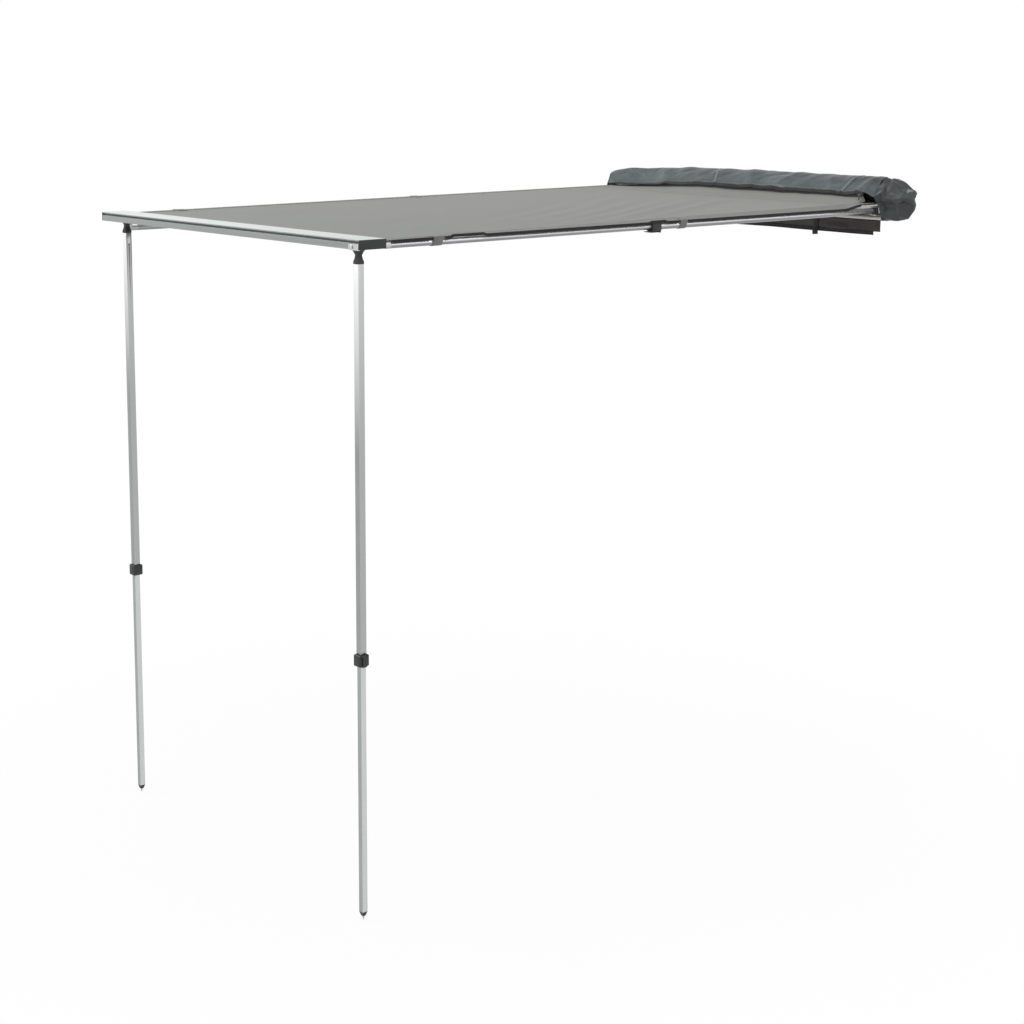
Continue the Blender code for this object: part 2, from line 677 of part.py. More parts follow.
def cover_flap():
    """The lower half of the cover, hanging from the back plate's bottom flange."""
    top = -PLATE_HEIGHT / 2 - GAP - COVER_SHEET / 2
    front = -PLATE_LIP_REACH - GAP - COVER_SHEET / 2
    rear = PLATE_FRONT - COVER_SHEET
    outline = [(rear, top + COVER_SHEET / 2), (front + COVER_SHEET / 2, top + COVER_SHEET / 2),
               (front + COVER_SHEET / 2, -PLATE_HEIGHT / 2 + PLATE_LIP_RISE / 3),
               (front - COVER_SHEET / 2, -PLATE_HEIGHT / 2 + PLATE_LIP_RISE / 3),
               (front - COVER_SHEET / 2, -FLAP_DROP), (front + COVER_SHEET / 2, -FLAP_DROP),
               (front + COVER_SHEET / 2, top - COVER_SHEET / 2), (rear, top - COVER_SHEET / 2)]
    return add("cover_flap", prism(outline, "X", -PLATE_END, PLATE_END), "cover_sheet")


def zip_outline(y, z, down, out):
    """Returns a zip tape's section: a flat tape that ends in a round row of teeth.

    The tape starts at (y, z) and runs along the unit direction (down, out) in the Y-Z plane.
    """
    run = Vector((down, out)).normalized()
    side = Vector((-run.y, run.x))
    start = Vector((y, z))
    half = ZIP_SHEET / 2
    centre = start + run * ZIP_WIDTH
    turn = math.atan2(run.y, run.x)
    points = [start - side * half, start + run * (ZIP_WIDTH - ZIP_BEAD) - side * half]
    for i in range(9):
        angle = turn + math.radians(-140 + i * 35)
        points.append(centre + ZIP_BEAD * Vector((math.cos(angle), math.sin(angle))))
    points += [start + run * (ZIP_WIDTH - ZIP_BEAD) + side * half, start + side * half]
    return [tuple(p) for p in points]


def hood_zip_place(x):
    """Returns where the upper zip tape starts at x, just past the cover's edge, and its direction.

    The tape hangs where the cover stands up, and lies forward where the cover has sunk.
    """
    path = hood_path(x)
    end = Vector(path[-1])
    start = end + (end - Vector(path[-2])).normalized() * (GAP + ZIP_SHEET / 2)
    angle = math.radians(ZIP_HANG + (ZIP_LIE - ZIP_HANG) * droop(x))
    return start.x, start.y, -math.cos(angle), -math.sin(angle)


def hood_zip():
    """The upper half of the zip, along the hood's front edge."""
    length = AWNING_LENGTH - 2 * ZIP_INSET
    stations = [-length / 2 + i * length / HOOD_STATIONS for i in range(HOOD_STATIONS + 1)]
    rings = [(x, zip_outline(*hood_zip_place(x))) for x in stations]
    return add("hood_zip", loft(rings, "X"), "webbing", smooth=True)


def flap_zip():
    """The lower half of the zip, along the flap's bottom edge."""
    front = -PLATE_LIP_REACH - GAP - COVER_SHEET / 2
    outline = zip_outline(front, -FLAP_DROP - GAP, 0.0, -1.0)
    end = PLATE_END - ZIP_INSET
    return add("flap_zip", prism(outline, "X", -end, end), "webbing", smooth=True)


def zip_slider(parent):
    """The slider and its pull, parked at the near end of the hood's zip."""
    x = PLATE_END - ZIP_INSET - SLIDER_LENGTH
    y, z = slider_centre()
    inner = ZIP_BEAD + GAP
    outer = inner + SLIDER_WALL
    shape = bmesh.new()
    low, high = x - SLIDER_LENGTH / 2, x + SLIDER_LENGTH / 2
    mouth = math.radians(50)
    turn = math.radians(ZIP_HANG)
    ring = []
    for radius, order in ((outer, 1), (inner, -1)):
        sweep = [turn + mouth + i * (2 * math.pi - 2 * mouth) / 12 for i in range(13)]
        ring += [(y + radius * math.cos(a), z + radius * math.sin(a)) for a in sweep[::order]]
    prism(ring, "X", low, high, shape)
    slider = add("zip_slider", shape, "zinc_steel", parent)
    pull = bmesh.new()
    box((x - SLIDER_WALL * 2, y - outer - SLIDER_WALL / 2, z - outer - PULL_LENGTH),
        (x + SLIDER_WALL * 2, y - outer + SLIDER_WALL, z + SLIDER_WALL), pull)
    fuse(slider, pull)
    return slider


def slider_centre():
    """Returns the (y, z) of the row of teeth at the near end of the hood's zip."""
    y, z, down, out = hood_zip_place(PLATE_END)
    return y + down * ZIP_WIDTH, z + out * ZIP_WIDTH


def cover_strap(name, sign):
    """A webbing strap that hangs in front of the flap."""
    rear = -PLATE_LIP_REACH - GAP - COVER_SHEET - GAP
    path = curve_through([(rear - TAB_SHEET / 2, -PLATE_LIP_REACH), (rear - TAB_SHEET / 2, -0.08),
                          (rear - TAB_SHEET, -STRAP_DROP)], 2)
    middle = sign * STRAP_X
    return add(name + "_strap", prism(band(path, TAB_SHEET), "X", middle - STRAP_WIDTH / 2,
                                      middle + STRAP_WIDTH / 2), "webbing")


# Canopy


def canopy_share(y):
    """Returns how far y lies along the free cloth, from 0 at the beam to 1 at the rail."""
    front = BEAM_REAR
    rear = PLATE_FRONT - RAIL_DEPTH
    return min(max((y - front) / (rear - front), 0.0), 1.0)


def canopy_line(y):
    """Returns the height of the straight line from the beam's slot to the rail at y."""
    share = canopy_share(y)
    return CANOPY_FRONT_Z + (CANOPY_REAR_Z - CANOPY_FRONT_Z) * share


def canopy_height(x, y):
    """Returns the canopy's height: a straight edge all round and a slight sag inside it."""
    across = max(1 - (x / CANOPY_HALF) ** 2, 0.0)
    along = canopy_share(y)
    sag = CANOPY_SAG * across * 4 * along * (1 - along)
    ripple = CANOPY_RIPPLE * across * math.sin(math.pi * along) ** 2
    return canopy_line(y) - sag + ripple * math.sin(CANOPY_RIPPLES * math.pi * (x / CANOPY_HALF + along))


def canopy_rows():
    """Returns each row's (y, half thickness), with a round bead at the front and rear edges."""
    half = CANOPY_THICKNESS / 2
    neck = math.asin(half / BEAD_RADIUS)
    sweep = [neck + i * (math.pi - 2 * neck) / 5 for i in range(6)]
    start = FRONT_BEAD_Y - BEAD_RADIUS * math.cos(neck)
    front = [(start, half)] + [(FRONT_BEAD_Y - BEAD_RADIUS * math.cos(a), BEAD_RADIUS * math.sin(a))
                               for a in sweep[1:]]
    low = BEAM_REAR + CANOPY_MARGIN
    high = PLATE_FRONT - RAIL_DEPTH - CANOPY_MARGIN
    middle = [(low + (high - low) * i / CANOPY_STEPS_Y, half) for i in range(CANOPY_STEPS_Y + 1)]
    rear = [(REAR_BEAD_Y - BEAD_RADIUS * math.cos(a), BEAD_RADIUS * math.sin(a)) for a in sweep[:-1]]
    return front + middle + rear + [(REAR_BEAD_Y + BEAD_RADIUS * math.cos(neck), half)]


def canopy():
    """The cloth between the front beam and the back plate, with a bead in each one's slot."""
    shape = bmesh.new()
    columns = [-CANOPY_HALF + 2 * CANOPY_HALF * i / CANOPY_STEPS_X for i in range(CANOPY_STEPS_X + 1)]
    upper, lower = [
        [[shape.verts.new((x, y, canopy_height(x, y) + way * half)) for x in columns]
         for y, half in canopy_rows()] for way in (1, -1)]
    for grid, turned in ((upper, False), (lower, True)):
        for low, high in zip(grid, grid[1:]):
            for i in range(len(columns) - 1):
                face = (low[i], low[i + 1], high[i + 1], high[i])
                shape.faces.new(face[::-1] if turned else face)
    rim_upper = rim(upper)
    rim_lower = rim(lower)
    for i in range(len(rim_upper)):
        j = (i + 1) % len(rim_upper)
        shape.faces.new((rim_upper[i], rim_lower[i], rim_lower[j], rim_upper[j]))
    return add("canopy", shape, "canopy_cloth", smooth=True)


def rim(grid):
    """Returns the vertices round a grid's edge, in order."""
    right = [row[-1] for row in grid[1:-1]]
    left = [row[0] for row in grid[1:-1]]
    return grid[0] + right + grid[-1][::-1] + left[::-1]


def hem(name, sign):
    """The thick black side hem of the canopy."""
    front = BEAM_REAR + GAP
    rear = PLATE_FRONT - RAIL_DEPTH - GAP
    inner = CANOPY_HALF + GAP
    low_x, high_x = sorted((sign * inner, sign * (inner + HEM_WIDTH)))
    rings = []
    for y in (front, rear):
        z = canopy_line(y)
        rings.append((y, [(low_x, z - HEM_HALF), (high_x, z - HEM_HALF), (high_x, z + HEM_HALF),
                          (low_x, z + HEM_HALF)]))
    return add(name + "_hem", loft(rings, "Y"), "hem_cloth")


def hem_tab(name, end, reach, width, radius):
    """A webbing loop, sewn to the hem, that hangs it from the arm's tube."""
    side = SIDES[name]
    x = side["sign"] * ARM_X
    low, high = -reach - width / 2, -reach + width / 2
    top = canopy_line(low) - HEM_HALF - GAP
    loop = radius + TAB_SLACK
    path = [(x - loop, top)]
    path += [(x + loop * math.cos(a), side["arm_z"] + loop * math.sin(a))
             for a in (math.pi + i * math.pi / 10 for i in range(11))]
    path.append((x + loop, top))
    return add(name + "_" + end + "_tab", prism(band(path, TAB_SHEET), "Y", low, high), "tab_cloth", smooth=True)


# Cam levers, shared by the arms and the legs


def lever_frame(origin, along, normal):
    """Returns the matrix of a lever's frame: hinge to tip, outward, and along its axle."""
    along = Vector(along)
    normal = Vector(normal)
    across = along.cross(normal)
    turn = Matrix((along, normal, across)).transposed().to_4x4()
    return Matrix.Translation(Vector(origin)) @ turn


def lever_plan(tip):
    """Returns a lever's side outline round its hinge, which is at (0, 0), out to its tip."""
    rear = [(BARREL_RADIUS * math.cos(a), BARREL_RADIUS * math.sin(a))
            for a in (math.pi / 2 + i * math.pi / 8 for i in range(9))]
    low = -LUG_RISE + GAP
    knee = (tip * LEVER_TAPER, BARREL_RADIUS * HEAD_CROWN)
    return rear + [(tip * LEVER_TAPER, low), (tip, low), (tip, low + LEVER_SHEET), knee]


def cam_lever(name, frame, tip, parent):
    """The lever that squeezes the lock, with stub axles that turn in the lock's lugs."""
    lever = add(name, prism(lever_plan(tip), "Z", -LEVER_HALF, LEVER_HALF), "black_plastic", parent)
    axle = rod("Z", 0, 0, AXLE_RADIUS, -LEVER_HALF - LUG_THICKNESS, LEVER_HALF + LUG_THICKNESS, 12)
    move(axle, frame)
    fuse(lever, axle)
    lever.data.transform(frame)
    return lever


def move(shape, frame):
    """Moves a bmesh from a local frame into the world."""
    bmesh.ops.transform(shape, matrix=frame, verts=shape.verts)


def lever_lugs(frame, sink):
    """Returns the two lugs beside a lever, sunk into the lock that they stand on."""
    shape = bmesh.new()
    inner = LEVER_HALF + EAR_CLEARANCE
    for low, high in ((inner, inner + LUG_THICKNESS), (-inner - LUG_THICKNESS, -inner)):
        box((-LUG_RISE, -LUG_RISE - sink, low), (LUG_RISE, LUG_RISE, high), shape)
    move(shape, frame)
    return shape


def axle_hole(frame):
    """Returns the cutter of the lever's axle through both lugs."""
    reach = LEVER_HALF + LUG_THICKNESS * 2
    shape = rod("Z", 0, 0, AXLE_RADIUS + GAP, -reach, reach, 12)
    move(shape, frame)
    return shape


# Arms


def arm_plug(name, parent):
    """The moulded eye that joins an arm to its hinge pin."""
    side = SIDES[name]
    x = side["sign"] * ARM_X
    z = side["arm_z"]
    pivot = -side["pivot_reach"]
    plug = add(name + "_arm_plug", rod("Z", x, pivot, EYE_RADIUS, z - EYE_HEIGHT / 2, z + EYE_HEIGHT / 2),
               "black_plastic", parent, smooth=True)
    neck = pivot - EYE_SHANK
    spigot = neck - SPIGOT_LENGTH
    square = [(x - ARM_OUTER_RADIUS, z - ARM_OUTER_RADIUS), (x + ARM_OUTER_RADIUS, z - ARM_OUTER_RADIUS),
              (x + ARM_OUTER_RADIUS, z + ARM_OUTER_RADIUS), (x - ARM_OUTER_RADIUS, z + ARM_OUTER_RADIUS)]
    fuse(plug, prism(square, "Y", neck, pivot - EYE_RADIUS / 2))
    fuse(plug, rod("Y", x, z, ARM_OUTER_RADIUS - ARM_WALL - GAP, spigot, neck + THROUGH))
    cut(plug, rod("Z", x, pivot, PIN_RADIUS + GAP, z - EYE_HEIGHT, z + EYE_HEIGHT))
    return plug


def arm_outer(name, parent):
    """The fixed tube of an arm."""
    side = SIDES[name]
    x = side["sign"] * ARM_X
    start = -side["pivot_reach"] - EYE_SHANK - GAP
    return add(name + "_arm_outer", tube("Y", circle(x, side["arm_z"], ARM_OUTER_RADIUS),
                                         circle(x, side["arm_z"], ARM_OUTER_RADIUS - ARM_WALL),
                                         ARM_JOIN_Y, start), "bright_tube", parent, smooth=True)


def arm_lever_frame(name):
    """Returns the frame of an arm's cam lever, under its lock block."""
    side = SIDES[name]
    origin = (side["sign"] * ARM_X, -ARM_LOCK_REACH - LUG_RISE, side["arm_z"] - ARM_LOCK_HALF - LUG_RISE)
    return lever_frame(origin, (0, -1, 0), (0, 0, -1))


def arm_lock(name, parent):
    """The clamp block where the arm's inner tube leaves the outer one."""
    side = SIDES[name]
    x = side["sign"] * ARM_X
    z = side["arm_z"]
    rear = -ARM_LOCK_REACH
    front = rear - ARM_LOCK_LENGTH
    shape = prism(rounded_square(x, z, ARM_LOCK_HALF, LOCK_CORNER), "Y", front, rear)
    lock = add(name + "_arm_lock", shape, "black_plastic", parent)
    frame = arm_lever_frame(name)
    fuse(lock, lever_lugs(frame, LUG_SINK))
    cut(lock, rod("Y", x, z, ARM_OUTER_RADIUS + GAP, ARM_JOIN_Y - GAP, rear + THROUGH))
    cut(lock, rod("Y", x, z, ARM_INNER_RADIUS + GAP, front - THROUGH, ARM_JOIN_Y))
    cut(lock, axle_hole(frame))
    return lock


def arm_inner(name, parent):
    """The sliding tube of an arm."""
    side = SIDES[name]
    x = side["sign"] * ARM_X
    return add(name + "_arm_inner", tube("Y", circle(x, side["arm_z"], ARM_INNER_RADIUS),
                                         circle(x, side["arm_z"], ARM_INNER_RADIUS - ARM_WALL),
                                         INNER_TUBE_END_Y, ARM_JOIN_Y + ARM_OVERLAP),
               "bright_tube", parent, smooth=True)


def arm_tip(name, parent):
    """The flat tongue at the arm's front end, with its spigot in the inner tube."""
    side = SIDES[name]
    x = side["sign"] * ARM_X
    z = side["arm_z"]
    low = TONGUE_END_Y
    high = INNER_TUBE_END_Y - GAP
    tip = add(name + "_arm_tip", box((x - ARM_INNER_RADIUS, low, z - TONGUE_HALF),
                                     (x + ARM_INNER_RADIUS, high, z + TONGUE_HALF)), "zinc_steel", parent)
    fuse(tip, rod("Y", x, z, ARM_INNER_RADIUS - ARM_WALL - GAP, high - THROUGH, high + SPIGOT_LENGTH))
    return tip


# Front beam


def beam_outline():
    """Returns the beam's section: two open leg channels, a front groove and the canopy's slot."""
    front, rear = BEAM_FRONT, BEAM_REAR
    top, bottom = BEAM_TOP, BEAM_BOTTOM
    wall = BEAM_WALL
    roof = top - wall
    web = front + wall + LANE_WIDTH
    groove_top = top - GROOVE_LIP
    groove_low = groove_top - GROOVE_HEIGHT
    slot = CANOPY_FRONT_Z
    chamber = FRONT_BEAD_Y - SLOT_HALF
    return [
        (front, bottom), (front, groove_low), (front + GROOVE_DEPTH, groove_low),
        (front + GROOVE_DEPTH, groove_top), (front, groove_top), (front, top), (rear, top),
        (rear, slot + MOUTH_HALF), (rear - SLOT_WALL, slot + MOUTH_HALF), (rear - SLOT_WALL, slot + SLOT_HALF),
        (chamber, slot + SLOT_HALF), (chamber, slot - SLOT_HALF), (rear - SLOT_WALL, slot - SLOT_HALF),
        (rear - SLOT_WALL, slot - MOUTH_HALF), (rear, slot - MOUTH_HALF), (rear, bottom),
        (rear - wall, bottom), (rear - wall, slot - SLOT_HALF - SLOT_WALL),
        (chamber - SLOT_WALL, slot - SLOT_HALF - SLOT_WALL), (chamber - SLOT_WALL, roof),
        (web + wall, roof), (web + wall, bottom), (web, bottom), (web, roof),
        (front + GROOVE_DEPTH + wall, roof), (front + GROOVE_DEPTH + wall, groove_low - wall),
        (front + wall, groove_low - wall), (front + wall, bottom),
    ]


def leg_pin_span(side):
    """Returns the outer and inner faces that a leg's pin grips, in Y."""
    outer = BEAM_FRONT if side["wall"] < 0 else BEAM_REAR
    inner = BEAM_FRONT + BEAM_WALL + LANE_WIDTH if side["wall"] < 0 else BEAM_REAR - BEAM_WALL - LANE_WIDTH
    return outer + side["wall"] * (GAP + CLIP_SHEET + GAP), inner - side["wall"] * (BEAM_WALL + GAP)


def clip_rivet_place(side):
    """Returns the (x, z) of the rivet beside a leg's pin."""
    return side["sign"] * side["clip_rivet"], LEG_PIVOT_Z - CLIP_RIVET_DROP


def socket_rivet_places():
    """Returns the (x, z) of the flush rivets that hold the arm sockets."""
    return [(side["sign"] * ARM_X + shift, -NEAR_ARM_DROP) for side in SIDES.values()
            for shift in (-SOCKET_RIVET_SPACING / 2, SOCKET_RIVET_SPACING / 2)]


def beam_holes():
    """Returns the holes for the leg pins, the clips' rivets and the sockets' rivets."""
    shape = bmesh.new()
    for side in SIDES.values():
        low, high = sorted(leg_pin_span(side))
        rod("Y", side["sign"] * LEG_X, LEG_PIVOT_Z, PIN_RADIUS + GAP, low - THROUGH, high + THROUGH, shape=shape)
        x, z = clip_rivet_place(side)
        face = BEAM_FRONT if side["wall"] < 0 else BEAM_REAR
        rod("Y", x, z, RIVET_RADIUS + GAP, face - THROUGH, face + THROUGH, SMALL_SIDES, shape)
    for x, z in socket_rivet_places():
        rod("Y", x, z, RIVET_RADIUS + GAP, BEAM_REAR - THROUGH, BEAM_REAR + THROUGH, SMALL_SIDES, shape)
    return shape


def front_beam(parent):
    """The extruded beam that carries the legs and the canopy's front edge."""
    end = BEAM_END - BEAM_CAP - GAP
    beam = add("front_beam", prism(beam_outline(), "X", -end, end), "pale_aluminium", parent)
    cut(beam, beam_holes())
    return beam


def beam_cap(name, sign, parent):
    """A moulded end cap with a tongue in the roof of each leg channel."""
    shape = bmesh.new()
    inner, outer = BEAM_END - BEAM_CAP, BEAM_END
    low, high = sorted((sign * inner, sign * outer))
    box((low, BEAM_FRONT, BEAM_BOTTOM), (high, BEAM_REAR, BEAM_TOP), shape)
    cap = add("beam_cap_" + name, shape, "black_plastic", parent)
    roof = BEAM_TOP - BEAM_WALL - GAP
    low, high = sorted((sign * (inner - CAP_TONGUE), sign * (inner + BEAM_CAP / 2)))
    tongues = bmesh.new()
    for middle in (side["leg_y"] for side in SIDES.values()):
        box((low, middle - LANE_WIDTH / 4, roof - BEAM_CAP), (high, middle + LANE_WIDTH / 4, roof), tongues)
    fuse(cap, tongues)
    return cap


def arm_socket(name, parent):
    """A bracket on the beam's rear face whose jaws open to the side the arm swings to."""
    side = SIDES[name]
    sign = side["sign"]
    z = side["arm_z"]
    jaw = TONGUE_HALF + SOCKET_CLEARANCE
    outer_z = jaw + SOCKET_WALL
    inner_x = ARM_INNER_RADIUS + SOCKET_CLEARANCE
    low, high = sorted((sign * (ARM_X - ARM_INNER_RADIUS), sign * (ARM_X + inner_x + SOCKET_WALL)))
    front = SOCKET_Y
    rear = SOCKET_Y + SOCKET_WALL + SOCKET_DEPTH
    top = max(z + outer_z, -NEAR_ARM_DROP + outer_z)
    socket = add(name + "_arm_socket", box((low, front, z - outer_z), (high, rear, z + outer_z)), "zinc_steel",
                 parent)
    if top > z + outer_z:
        fuse(socket, box((low, front, z), (high, front + SOCKET_WALL, top)))
    near_edge, far_edge = sorted((sign * (ARM_X - ARM_INNER_RADIUS - THROUGH), sign * (ARM_X + inner_x)))
    cut(socket, box((near_edge, front + SOCKET_WALL, z - jaw), (far_edge, rear + THROUGH, z + jaw)))
    rivets = bmesh.new()
    for x, height in socket_rivet_places():
        if x * sign > 0:
            ring = circle(x, height, RIVET_RADIUS, SMALL_SIDES)
            wide = circle(x, height, RIVET_HEAD_RADIUS, SMALL_SIDES)
            seat = BEAM_REAR - BEAM_WALL - GAP
            loft([(seat - RIVET_HEAD_HEIGHT, wide), (seat, wide), (seat, ring), (front + SOCKET_WALL / 2, ring)],
                 "Y", rivets)
    fuse(socket, rivets)
    return socket


def leg_clip(name, parent):
    """The bright clip that wraps the channel's outer wall round the leg's pin."""
    side = SIDES[name]
    wall = side["wall"]
    face = BEAM_FRONT if wall < 0 else BEAM_REAR
    outer = face + wall * GAP
    inner = face - wall * (BEAM_WALL + GAP)
    top = BEAM_TOP - CLIP_TOP_DROP
    bottom = BEAM_BOTTOM - GAP
    sheet = CLIP_SHEET
    outline = [(outer, top), (outer, bottom), (inner, bottom), (inner, top - CLIP_INNER_DROP),
               (inner - wall * sheet, top - CLIP_INNER_DROP), (inner - wall * sheet, bottom - sheet),
               (outer + wall * sheet, bottom - sheet), (outer + wall * sheet, top)]
    low, high = sorted(side["sign"] * end for end in side["clip"])
    clip = add(name + "_leg_clip", prism(outline, "X", low, high), "zinc_steel", parent)
    start, stop = sorted((face - wall * THROUGH * 2, face + wall * THROUGH))
    cut(clip, rod("Y", side["sign"] * LEG_X, LEG_PIVOT_Z, PIN_RADIUS + GAP, start, stop))
    low, high = sorted((outer + wall * sheet, inner - wall * sheet))
    sunk = sheet / 3
    fuse(clip, headed_pin("Y", *clip_rivet_place(side), low + sunk, high - sunk, RIVET_RADIUS,
                          RIVET_HEAD_RADIUS, RIVET_HEAD_HEIGHT))
    return clip


def leg_pin(name, parent):
    """The pin that a leg folds on."""
    side = SIDES[name]
    low, high = sorted(leg_pin_span(side))
    return add(name + "_leg_pin", headed_pin("Y", side["sign"] * LEG_X, LEG_PIVOT_Z, low, high), "zinc_steel",
               parent, smooth=True)


# Legs


def rectangle(x, y, half_x, half_y):
    """Returns a rectangle's corners."""
    return [(x - half_x, y - half_y), (x + half_x, y - half_y), (x + half_x, y + half_y), (x - half_x, y + half_y)]


def leg_knuckle(name, parent):
    """The moulded eye at the leg's top, waisted above the square tube."""
    side = SIDES[name]
    x = side["sign"] * LEG_X
    y = side["leg_y"]
    pivot = LEG_PIVOT_Z
    sections = []
    for i in range(KNUCKLE_ARC_SECTIONS):
        angle = math.radians(KNUCKLE_ARC_START + i * KNUCKLE_ARC_STEP)
        sections.append((pivot + KNUCKLE_RADIUS * math.cos(angle),
                         rectangle(x, y, KNUCKLE_RADIUS * math.sin(angle), KNUCKLE_HALF)))
    shoulder = pivot - LEG_TUBE_START + KNUCKLE_SHOULDER
    wide = LEG_OUTER / 2
    sections.append((pivot - KNUCKLE_NECK_DROP, rectangle(x, y, KNUCKLE_NECK, KNUCKLE_NECK)))
    sections.append(((pivot - KNUCKLE_NECK_DROP + shoulder) / 2,
                     rectangle(x, y, KNUCKLE_NECK + (wide - KNUCKLE_NECK) / 3,
                               KNUCKLE_NECK + (wide - KNUCKLE_NECK) / 3)))
    sections.append((shoulder, rectangle(x, y, wide, wide)))
    sections.append((pivot - LEG_TUBE_START, rectangle(x, y, wide, wide)))
    sections.sort(key=lambda item: item[0])
    knuckle = add(name + "_leg_knuckle", loft(sections, "Z"), "black_plastic", parent)
    half = wide - LEG_WALL - GAP
    fuse(knuckle, prism(rounded_square(x, y, half, LEG_CORNER - LEG_WALL), "Z",
                        pivot - LEG_TUBE_START - KNUCKLE_INSERT, pivot - LEG_TUBE_START + THROUGH / 2))
    cut(knuckle, rod("Y", x, pivot, PIN_RADIUS + GAP, y - LANE_WIDTH / 2, y + LANE_WIDTH / 2))
    return knuckle


def square_tube(name, x, y, width, low, high, parent):
    """A square leg tube with rounded corners."""
    half = width / 2
    shape = tube("Z", rounded_square(x, y, half, LEG_CORNER),
                 rounded_square(x, y, half - LEG_WALL, LEG_CORNER - LEG_WALL), low, high)
    return add(name, shape, "bright_tube", parent)


def leg_upper(name, parent):
    """The upper tube, with the spring button's hole on its inward face."""
    side = SIDES[name]
    x = side["sign"] * LEG_X
    high = LEG_PIVOT_Z - LEG_TUBE_START - GAP
    upper = square_tube(name + "_leg_upper", x, side["leg_y"], LEG_OUTER, leg_join_z(), high, parent)
    start, stop = sorted((x - side["sign"] * LEG_OUTER, x - side["sign"] * (LEG_OUTER / 2 - LEG_WALL - GAP / 2)))
    cut(upper, rod("X", side["leg_y"], high - BUTTON_DROP, BUTTON_RADIUS, start, stop, SMALL_SIDES))
    return upper


def leg_join_z():
    """Returns the upper tube's lower end, inside the collar."""
    return LEG_PIVOT_Z - LEG_COLLAR_DROP - COLLAR_HEIGHT / 2


def leg_lever_frame(name):
    """Returns the frame of a leg's cam lever, on the collar's outer face."""
    side = SIDES[name]
    sign = side["sign"]
    x = sign * (LEG_X + COLLAR_FRONT + LUG_RISE)
    z = LEG_PIVOT_Z - LEG_COLLAR_DROP - LUG_RISE
    return lever_frame((x, side["leg_y"], z), (0, 0, -1), (sign, 0, 0))


def leg_collar(name, parent):
    """The clamp collar between the leg's two tubes."""
    side = SIDES[name]
    x = side["sign"] * LEG_X
    y = side["leg_y"]
    high = LEG_PIVOT_Z - LEG_COLLAR_DROP
    low = high - COLLAR_HEIGHT
    start, stop = sorted((x - side["sign"] * COLLAR_BACK, x + side["sign"] * COLLAR_FRONT))
    slim = COLLAR_HALF_DEPTH - COLLAR_CHAMFER
    rings = [(low, rectangle((start + stop) / 2, y, (stop - start) / 2 - COLLAR_CHAMFER / 2, slim)),
             (low + COLLAR_CHAMFER, rectangle((start + stop) / 2, y, (stop - start) / 2, COLLAR_HALF_DEPTH)),
             (high - COLLAR_CHAMFER, rectangle((start + stop) / 2, y, (stop - start) / 2, COLLAR_HALF_DEPTH)),
             (high, rectangle((start + stop) / 2, y, (stop - start) / 2 - COLLAR_CHAMFER / 2, slim))]
    collar = add(name + "_leg_collar", loft(rings, "Z"), "black_plastic", parent)
    frame = leg_lever_frame(name)
    fuse(collar, lever_lugs(frame, LUG_SINK))
    join = leg_join_z()
    cut(collar, prism(rounded_square(x, y, LEG_OUTER / 2 + GAP, LEG_CORNER + GAP), "Z", join - GAP, high + THROUGH))
    cut(collar, prism(rounded_square(x, y, LEG_INNER / 2 + GAP, LEG_CORNER + GAP), "Z", low - THROUGH, join))
    cut(collar, axle_hole(frame))
    return collar


def leg_foot_z():
    """Returns the lower tube's bottom end."""
    return -GROUND_DROP + SPIKE_LENGTH + FOOT_HEIGHT + GAP


def leg_lower(name, parent):
    """The sliding lower tube."""
    side = SIDES[name]
    return square_tube(name + "_leg_lower", side["sign"] * LEG_X, side["leg_y"], LEG_INNER, leg_foot_z(),
                       leg_join_z() + LEG_OVERLAP, parent)


def leg_foot(name, parent):
    """The tapered plug at the leg's bottom end."""
    side = SIDES[name]
    x = side["sign"] * LEG_X
    y = side["leg_y"]
    top = leg_foot_z() - GAP
    wide = rounded_square(x, y, LEG_INNER / 2, LEG_CORNER)
    narrow = rounded_square(x, y, FOOT_END_HALF, LEG_CORNER)
    foot = add(name + "_leg_foot", loft([(top - FOOT_HEIGHT, narrow), (top, wide)], "Z"), "black_plastic", parent)
    half = LEG_INNER / 2 - LEG_WALL - GAP
    fuse(foot, prism(rounded_square(x, y, half, LEG_CORNER - LEG_WALL), "Z", top - THROUGH / 2,
                     top + SPIGOT_LENGTH))
    cut(foot, rod("Z", x, y, SPIKE_STEM + GAP, top - FOOT_HEIGHT - THROUGH, top - FOOT_HEIGHT / 3, SMALL_SIDES))
    return foot


def leg_spike(name, parent):
    """The steel point under the foot, its stem in the foot's bore."""
    side = SIDES[name]
    x = side["sign"] * LEG_X
    y = side["leg_y"]
    base = -GROUND_DROP + SPIKE_LENGTH - GAP
    rings = [(-GROUND_DROP, circle(x, y, SPIKE_TIP, SMALL_SIDES)), (base, circle(x, y, SPIKE_RADIUS, SMALL_SIDES)),
             (base, circle(x, y, SPIKE_STEM, SMALL_SIDES)),
             (base + FOOT_HEIGHT / 2, circle(x, y, SPIKE_STEM, SMALL_SIDES))]
    return add(name + "_leg_spike", loft(rings, "Z"), "zinc_steel", parent)


def fixed_parts():
    """Builds what stays on the vehicle."""
    back_plate()
    cover_hood()
    cover_flap()
    hood_zip()
    flap_zip()
    canopy()
    for name, side in SIDES.items():
        arm_hinge(name)
        arm_hinge_pin(name)
        bar_bracket(name, side["sign"])
        bar_bolt(name, side["sign"])
        cover_end(name, side["sign"])
        cover_strap(name, side["sign"])
        hem(name, side["sign"])
        hem_tab(name, "front", FRONT_TAB_REACH, FRONT_TAB_WIDTH, ARM_INNER_RADIUS)
        hem_tab(name, "rear", REAR_TAB_REACH, REAR_TAB_WIDTH, ARM_OUTER_RADIUS)
    zip_slider(axis_at("zip_axis", (PLATE_END - ZIP_INSET - SLIDER_LENGTH, *slider_centre())))


